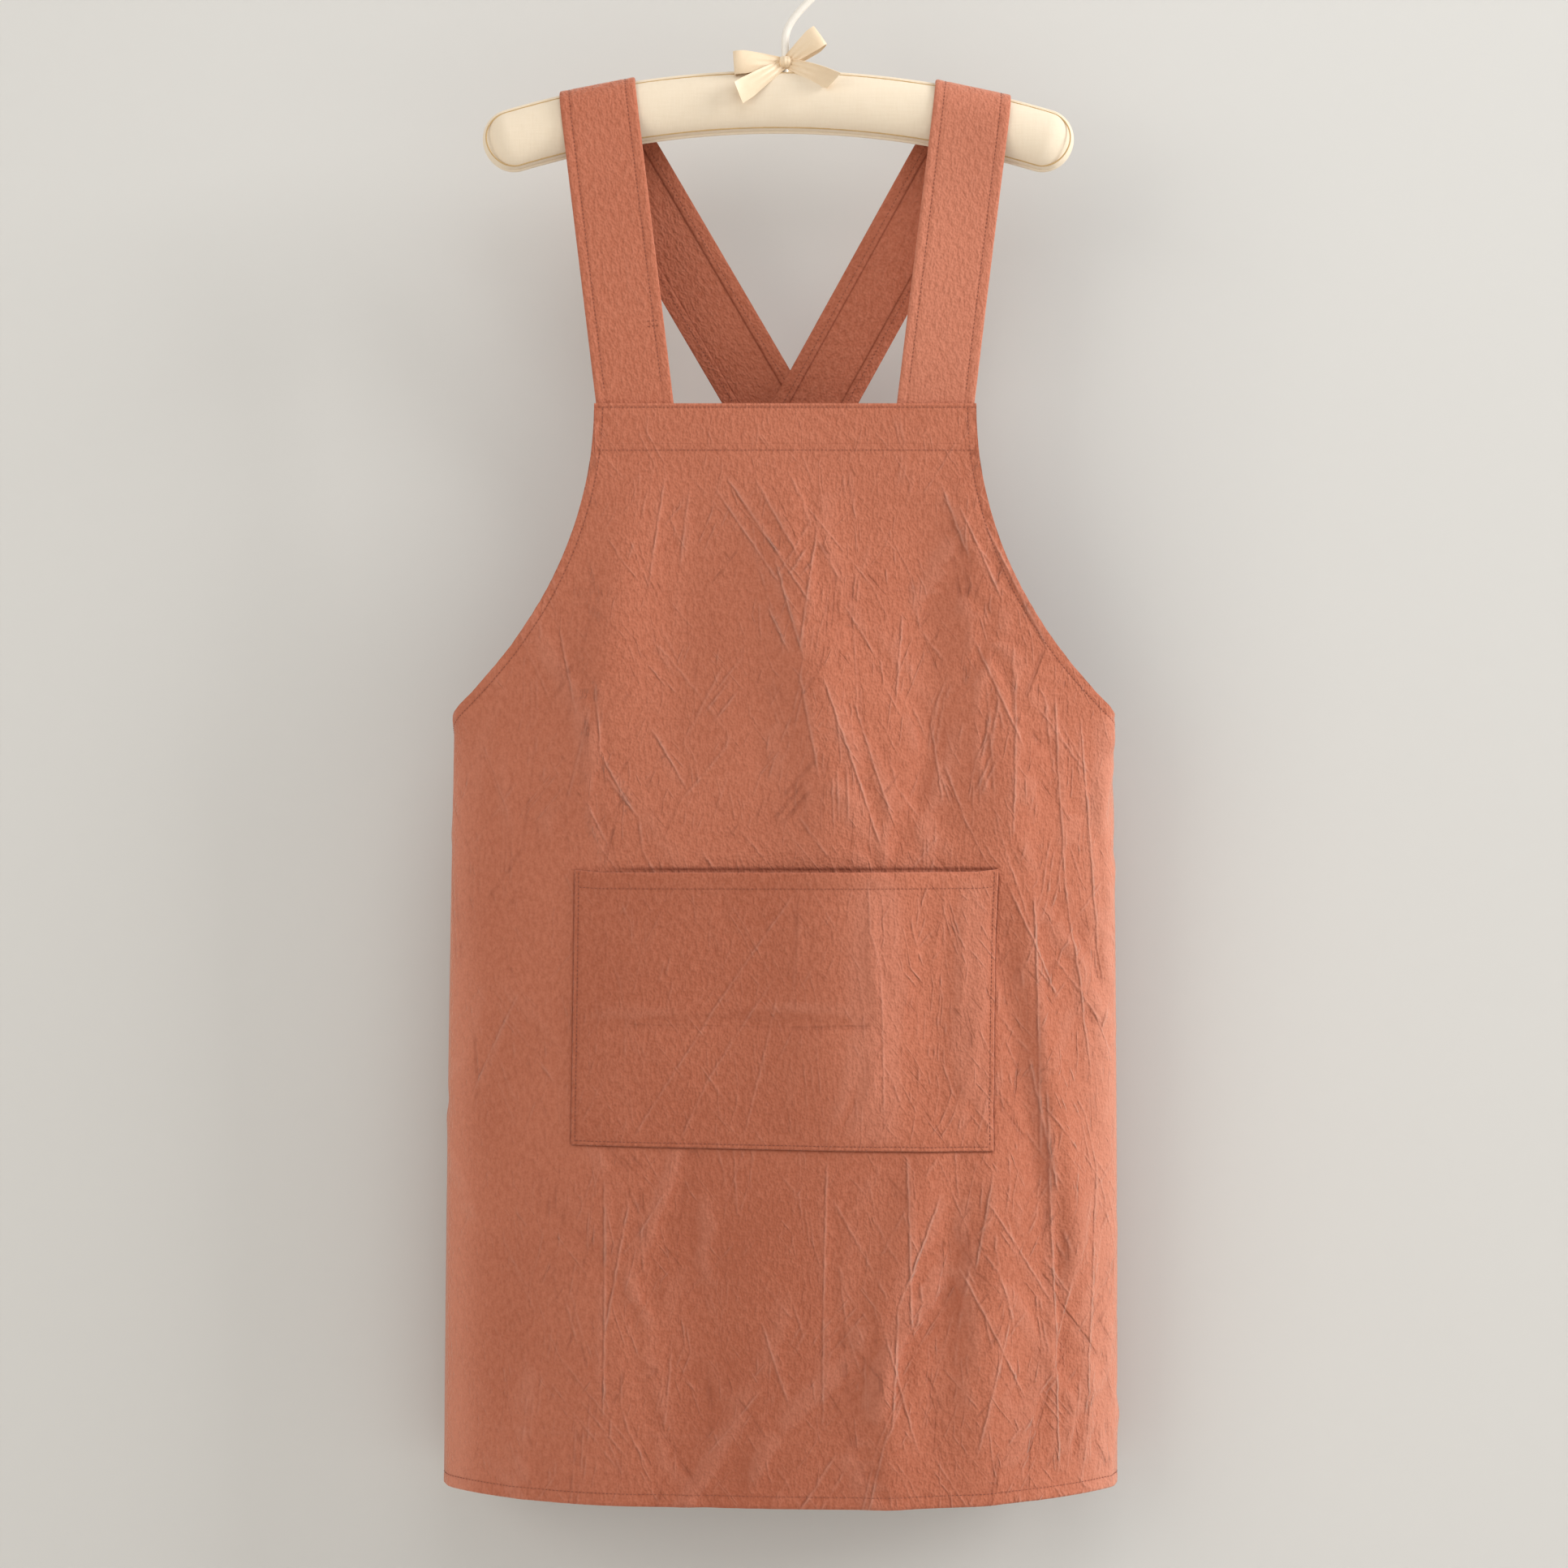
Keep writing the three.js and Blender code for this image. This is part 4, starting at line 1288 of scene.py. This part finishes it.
def pocket_lift(part, drop):
    """Height of the pocket's middle over the body's cloth, its creases, and what its hems add."""
    across, down = pocket_place(part, drop)
    beneath, _ = body_lift(across, down)
    open_by = mouth_open * np.sin(math.pi * part**mouth_skew) * (1 - drop) ** mouth_fade
    creases = crease_lift(across, down, pocket_creases)
    fading = np.sin(math.pi * np.clip(drop, 0, 1)) ** 0.7
    for crest, wide, rise in pocket_folds:
        creases = creases + rise * bell((across - crest) / wide) * fading
    height = pocket_right[1, 1] - pocket_right[0, 1]
    width = pocket_right[0, 0] - pocket_left[0, 0]
    from_mouth = drop * height
    from_edge = np.minimum(np.minimum(part, 1 - part) * width, (1 - drop) * height)
    held = np.clip(from_edge / pocket_held, 0, 1)
    creases = np.maximum(creases * held, -(0.4 * pocket_gap + 0.7 * open_by))
    seams = np.stack([from_edge - pocket_stitched, from_mouth - mouth_hem])
    nearest = np.take_along_axis(seams, np.abs(seams).argmin(axis=0)[None], axis=0)[0]
    sunk = pocket_sink * bell(nearest / seam_width) + rounded_edge(np.minimum(from_edge, from_mouth))
    added = np.clip((mouth_hem + mouth_hem_step - from_mouth) / mouth_hem_step, 0, 1)
    middle = cloth_thick + pocket_gap + beneath + open_by + creases
    shade = stacked(nearest / shade_width, pocket_shade, 0)
    return across, down, middle, creases, sunk, mouth_hem_thick * added, shade


pocket_parts, pocket_drops = np.meshgrid(
    edge_steps(pocket_wide, fine=0.0004, coarse=0.0019, growth=0.25),
    edge_steps(pocket_tall, fine=0.0004, coarse=0.0026, growth=0.25)[::-1],
)
across, down, middle, creased, sunk, added, shade = pocket_lift(pocket_parts, pocket_drops)
pocket_outer = hang(across, down, middle + cloth_thick / 2 + added - sunk)
pocket_inner = hang(across, down, middle - cloth_thick / 2)
pocket_plan = stacked(across + 1.0, -down)
# Painted shade over the left of the pocket, fading out just right of its middle
painted_shading = 0.6 * np.clip((0.045 - across) / 0.05, 0, 1)
pocket_marks = cloth_marks(creased, painted_shading, shade, shade, fold_lines(across, down, pocket_lines))
pocket = cloth_wall("linen_pocket", pocket_outer, pocket_inner, pocket_plan, pocket_marks)
pocket.data.materials.append(linen)


def pocket_seam(part, drop):
    across, down, middle, _, sunk, added, _ = pocket_lift(part, drop)
    return lifted_seam(across, down, middle + cloth_thick / 2 + added - sunk, stitch_rise)


side_in = pocket_stitched / pocket_wide
foot_in = pocket_stitched / pocket_tall
along_side = np.linspace(0.005, 1 - foot_in, 160)
along_foot = np.linspace(side_in, 1 - side_in, 240)
pocket_stitches = sew(
    "pocket_stitches",
    [
        pocket_seam(np.full_like(along_side, side_in), along_side),
        pocket_seam(np.full_like(along_side, 1 - side_in), along_side),
        pocket_seam(along_foot, np.full_like(along_foot, 1 - foot_in)),
        pocket_seam(along_foot, np.full_like(along_foot, mouth_hem / pocket_tall)),
    ],
)
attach(pocket, "root")
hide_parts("pocket")


# Straps: two flat strips of the same linen with both long edges turned in and stitched. Each is sewn
# behind the bib's band, lies over the hanger's arm, crosses the other behind and is sewn inside the
# far wing's top corner.
strap_width = 0.0495
strap_bib_across = 0.0965
strap_tuck = 0.028
strap_arm_across = 0.119
strap_arm_drift = 0.0025
strap_crossing = -0.321
strap_crossing_across = 0.004
strap_crossing_apart = 0.0008
strap_wing_down = 0.225
strap_end_down = 0.264
strap_hem = 0.0096
strap_stitched = 0.0064
strap_sink = 0.0003
strap_hem_step, strap_hem_thick = 0.0005, 0.0007
hem_edge_shade, hem_edge_aside, hem_edge_width = 0.75, 0.0003, 0.0006
# Painted shade on the straps behind, and a painted highlight on the right strap in front
strap_shade_behind, strap_shading_left, strap_highlight_right = 0.45, 0.0, -0.35
strap_onto_wing = 0.020
strap_tucked_rows, strap_front_rows, strap_arm_rows = 12, 84, 100
strap_twist = math.tan(math.radians(6))
tack_height = -0.2505
cloth_gap = 0.0003
strap_front = bib_front + 2 * cloth_thick + cloth_gap


def arm_middle(x):
    return arm_centre + np.sqrt(arm_arch**2 - (x - arm_shift) ** 2)


def wing_depth(x, down):
    """Depth of a wing's middle beside its back edge."""
    edge = hang(np.full_like(x, cut_half), down, 0.0)
    wing_turn = np.interp(down, drape_heights, drape_wing_turn)
    return edge[..., 1] + (np.abs(x) - (edge[..., 0] - hang_lean * down)) * np.tan(wing_turn)


def strap_back_depth(side, z):
    """Depth of a strap behind: it leans from the arm to the wing, the right one before the left."""
    arm_z = arm_middle(0)
    wing_z = bib_top - strap_wing_down
    part = np.clip((arm_z - z) / (arm_z - wing_z), 0, 1)
    wing_y = wing_depth(np.array(strap_arm_across), np.array(strap_wing_down))
    wing_y = wing_y - cloth_thick - cloth_gap
    apart = strap_crossing_apart * np.sin(math.pi * part)
    return -strap_front + (wing_y + strap_front) * part - side * apart


def smooth(t):
    t = np.clip(t, 0, 1)
    return t * t * (3 - 2 * t)


def strap_surface(side):
    """Middle points of a strap as a grid, its width across, and its length; side is 1 at the right."""
    arm_z = arm_middle(side * strap_arm_across)
    bib_lean = math.atan((strap_arm_across - strap_bib_across) / (arm_z - bib_top))
    slope = math.asin(abs(side * (strap_arm_across + strap_arm_drift) - arm_shift) / arm_arch)
    over = (arm_half_height + cloth_gap + cloth_thick / 2) / math.cos(slope)
    back_lean = math.atan((strap_arm_across - side * strap_crossing_across) / (arm_z - strap_crossing))
    wing_z = bib_top - strap_wing_down
    end_z = bib_top - strap_end_down

    rise = np.linspace(bib_top - strap_tuck, arm_z, 66)[:-1]
    turn = np.linspace(0, math.pi, 38)
    fall = np.linspace(arm_z, end_z, 150)[1:]
    into_turn = np.where(
        turn < math.pi / 2,
        bib_lean + (slope - bib_lean) * smooth(2 * turn / math.pi),
        slope + 0.5 * (back_lean - slope) * (2 * turn / math.pi - 1) ** 2,
    )
    into_fall = slope + (back_lean - slope) * (0.5 + 0.5 * smooth((arm_z - fall) / 0.045))
    x = np.r_[
        strap_bib_across + (rise - bib_top) * math.tan(bib_lean),
        strap_arm_across + strap_arm_drift * np.sin(turn),
        strap_arm_across - math.tan(back_lean) * (arm_z - fall),
    ]
    z = np.r_[rise, arm_z + over * np.sin(turn), fall]
    lean = np.r_[np.full(len(rise), bib_lean), into_turn, into_fall]

    near_edge = np.array((0, 0.7, 2.2, 4.2, 5.5, 6.4, 7.3, 8.8, 9.4, 9.9, 11.0, 14.0, 18.0)) / 1000
    width = np.r_[near_edge, strap_width / 2, strap_width - near_edge[::-1]] - strap_width / 2
    px = x[:, None] + width * np.cos(lean)[:, None]
    pz = z[:, None] - width * np.sin(lean)[:, None]
    bib_down = bib_top - np.minimum(pz, bib_top)
    tucked = hang(px, bib_down, fold_lift(px * side, bib_down))
    free = np.clip((pz - bib_top) / (arm_z - arm_half_height - bib_top), 0, 1)
    twist = strap_twist * max(side, 0) * width * np.sin(math.pi * free)
    front_y = np.where(pz < bib_top, tucked[..., 1] + 2 * cloth_thick + cloth_gap, strap_front + twist)
    wing_y = wing_depth(px, bib_top - np.minimum(pz, bib_top - 0.2)) - cloth_thick - cloth_gap
    onto_wing = smooth((wing_z + strap_onto_wing - pz) / strap_onto_wing)
    back_y = strap_back_depth(side, pz) * (1 - onto_wing) + wing_y * onto_wing
    over_y = strap_front * np.cos(turn)[:, None] + 0 * width
    count = len(rise)
    py = np.r_[front_y[:count], over_y, back_y[count + len(turn):]]
    points = stacked(px * side, py, pz)
    if side < 0:
        points = points[:, ::-1]
    travelled = travelled_along(points[:, points.shape[1] // 2])
    turned = np.r_[np.zeros(count), np.sin(turn), np.zeros(len(fall))]
    return points, width, travelled, turned[:, None], z


def strap_share(across, along):
    return 0.5


for side, name, seed in ((-1, "left", 31), (1, "right", 37)):
    points, width, travelled, turned, z = strap_surface(side)
    cut = stacked(width[None, :] + 2.0 + 0.2 * side, travelled[:, None])
    from_edge = strap_width / 2 - np.abs(width)[None, :] + 0 * travelled[:, None]
    length = travelled[-1]
    low, high = (-strap_width / 2, 0.03), (strap_width / 2, length - 0.02)
    strip_across, strip_down = np.broadcast_arrays(width[None, :], travelled[:, None])
    strip = (low, high, strap_share)
    creases = strewn_creases(
        seed, 40, *strip, length=0.025, width=(0.0026, 0.0050), steepness=(0.03, 0.08)
    )
    lines = strewn_creases(
        seed + 1, 300, *strip, length=0.010, width=(0.0004, 0.0006), steepness=(0.20, 0.50)
    )
    creased = crease_lift(strip_across, strip_down, creases) * (1 - turned)
    hem = np.clip((strap_hem - from_edge) / strap_hem_step, 0, 1)
    hem = hem * strap_hem_thick * (1 - 0.85 * turned)
    sunk = strap_sink * bell((from_edge - strap_stitched) / seam_width) + rounded_edge(from_edge)
    normals = surface_normals(points)
    outer = points + (cloth_thick / 2 + creased - sunk)[..., None] * normals
    inner = points - (cloth_thick / 2 - creased * 0.5 + hem - 0.3 * sunk)[..., None] * normals
    outside = stacked((from_edge - strap_stitched) / shade_width, stitch_shade, 0)
    inside = stacked((from_edge - strap_hem - hem_edge_aside) / hem_edge_width, hem_edge_shade, 0)
    in_front = np.arange(len(points))[:, None] < strap_front_rows
    # Painted shade behind the bib, and a painted highlight on the right strap's front
    painted_shading = np.where(in_front, strap_highlight_right if side > 0 else strap_shading_left, strap_shade_behind)
    marks = cloth_marks(creased, painted_shading, outside, inside, fold_lines(strip_across, strip_down, lines))
    strap = cloth_wall("linen_strap_" + name, outer, inner, cut, marks)
    strap.data.materials.append(linen)

    def strap_seam(at, face, rows):
        """A sewn line along the strap, at a place of its width and on one face."""
        column = int(np.argmin(np.abs(width - at)))
        facing = normals[rows, column] if face is outer else -normals[rows, column]
        return face[rows, column] + stitch_rise * facing, facing

    def bar_tack(row):
        """A short bar of stitches across the strap's inner seam."""
        across_seam = (width > edge - 0.006) & (width < edge + 0.004)
        facing = normals[row, across_seam]
        return outer[row, across_seam] + stitch_rise * facing, facing

    whole = slice(strap_tucked_rows, len(points))
    behind = slice(strap_arm_rows, len(points))
    edge = strap_width / 2 - strap_stitched
    tack_row = int(np.argmin(np.abs(z[:60] - tack_height)))
    strap_stitches = sew(
        "strap_stitches_" + name,
        [
            strap_seam(edge, outer, whole),
            strap_seam(-edge, outer, whole),
            strap_seam(edge, inner, behind),
            strap_seam(-edge, inner, behind),
            *([bar_tack(tack_row), bar_tack(tack_row + 1)] if side < 0 else []),
        ],
    )
    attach(strap, "root")
    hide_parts("strap_" + name)


low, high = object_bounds()
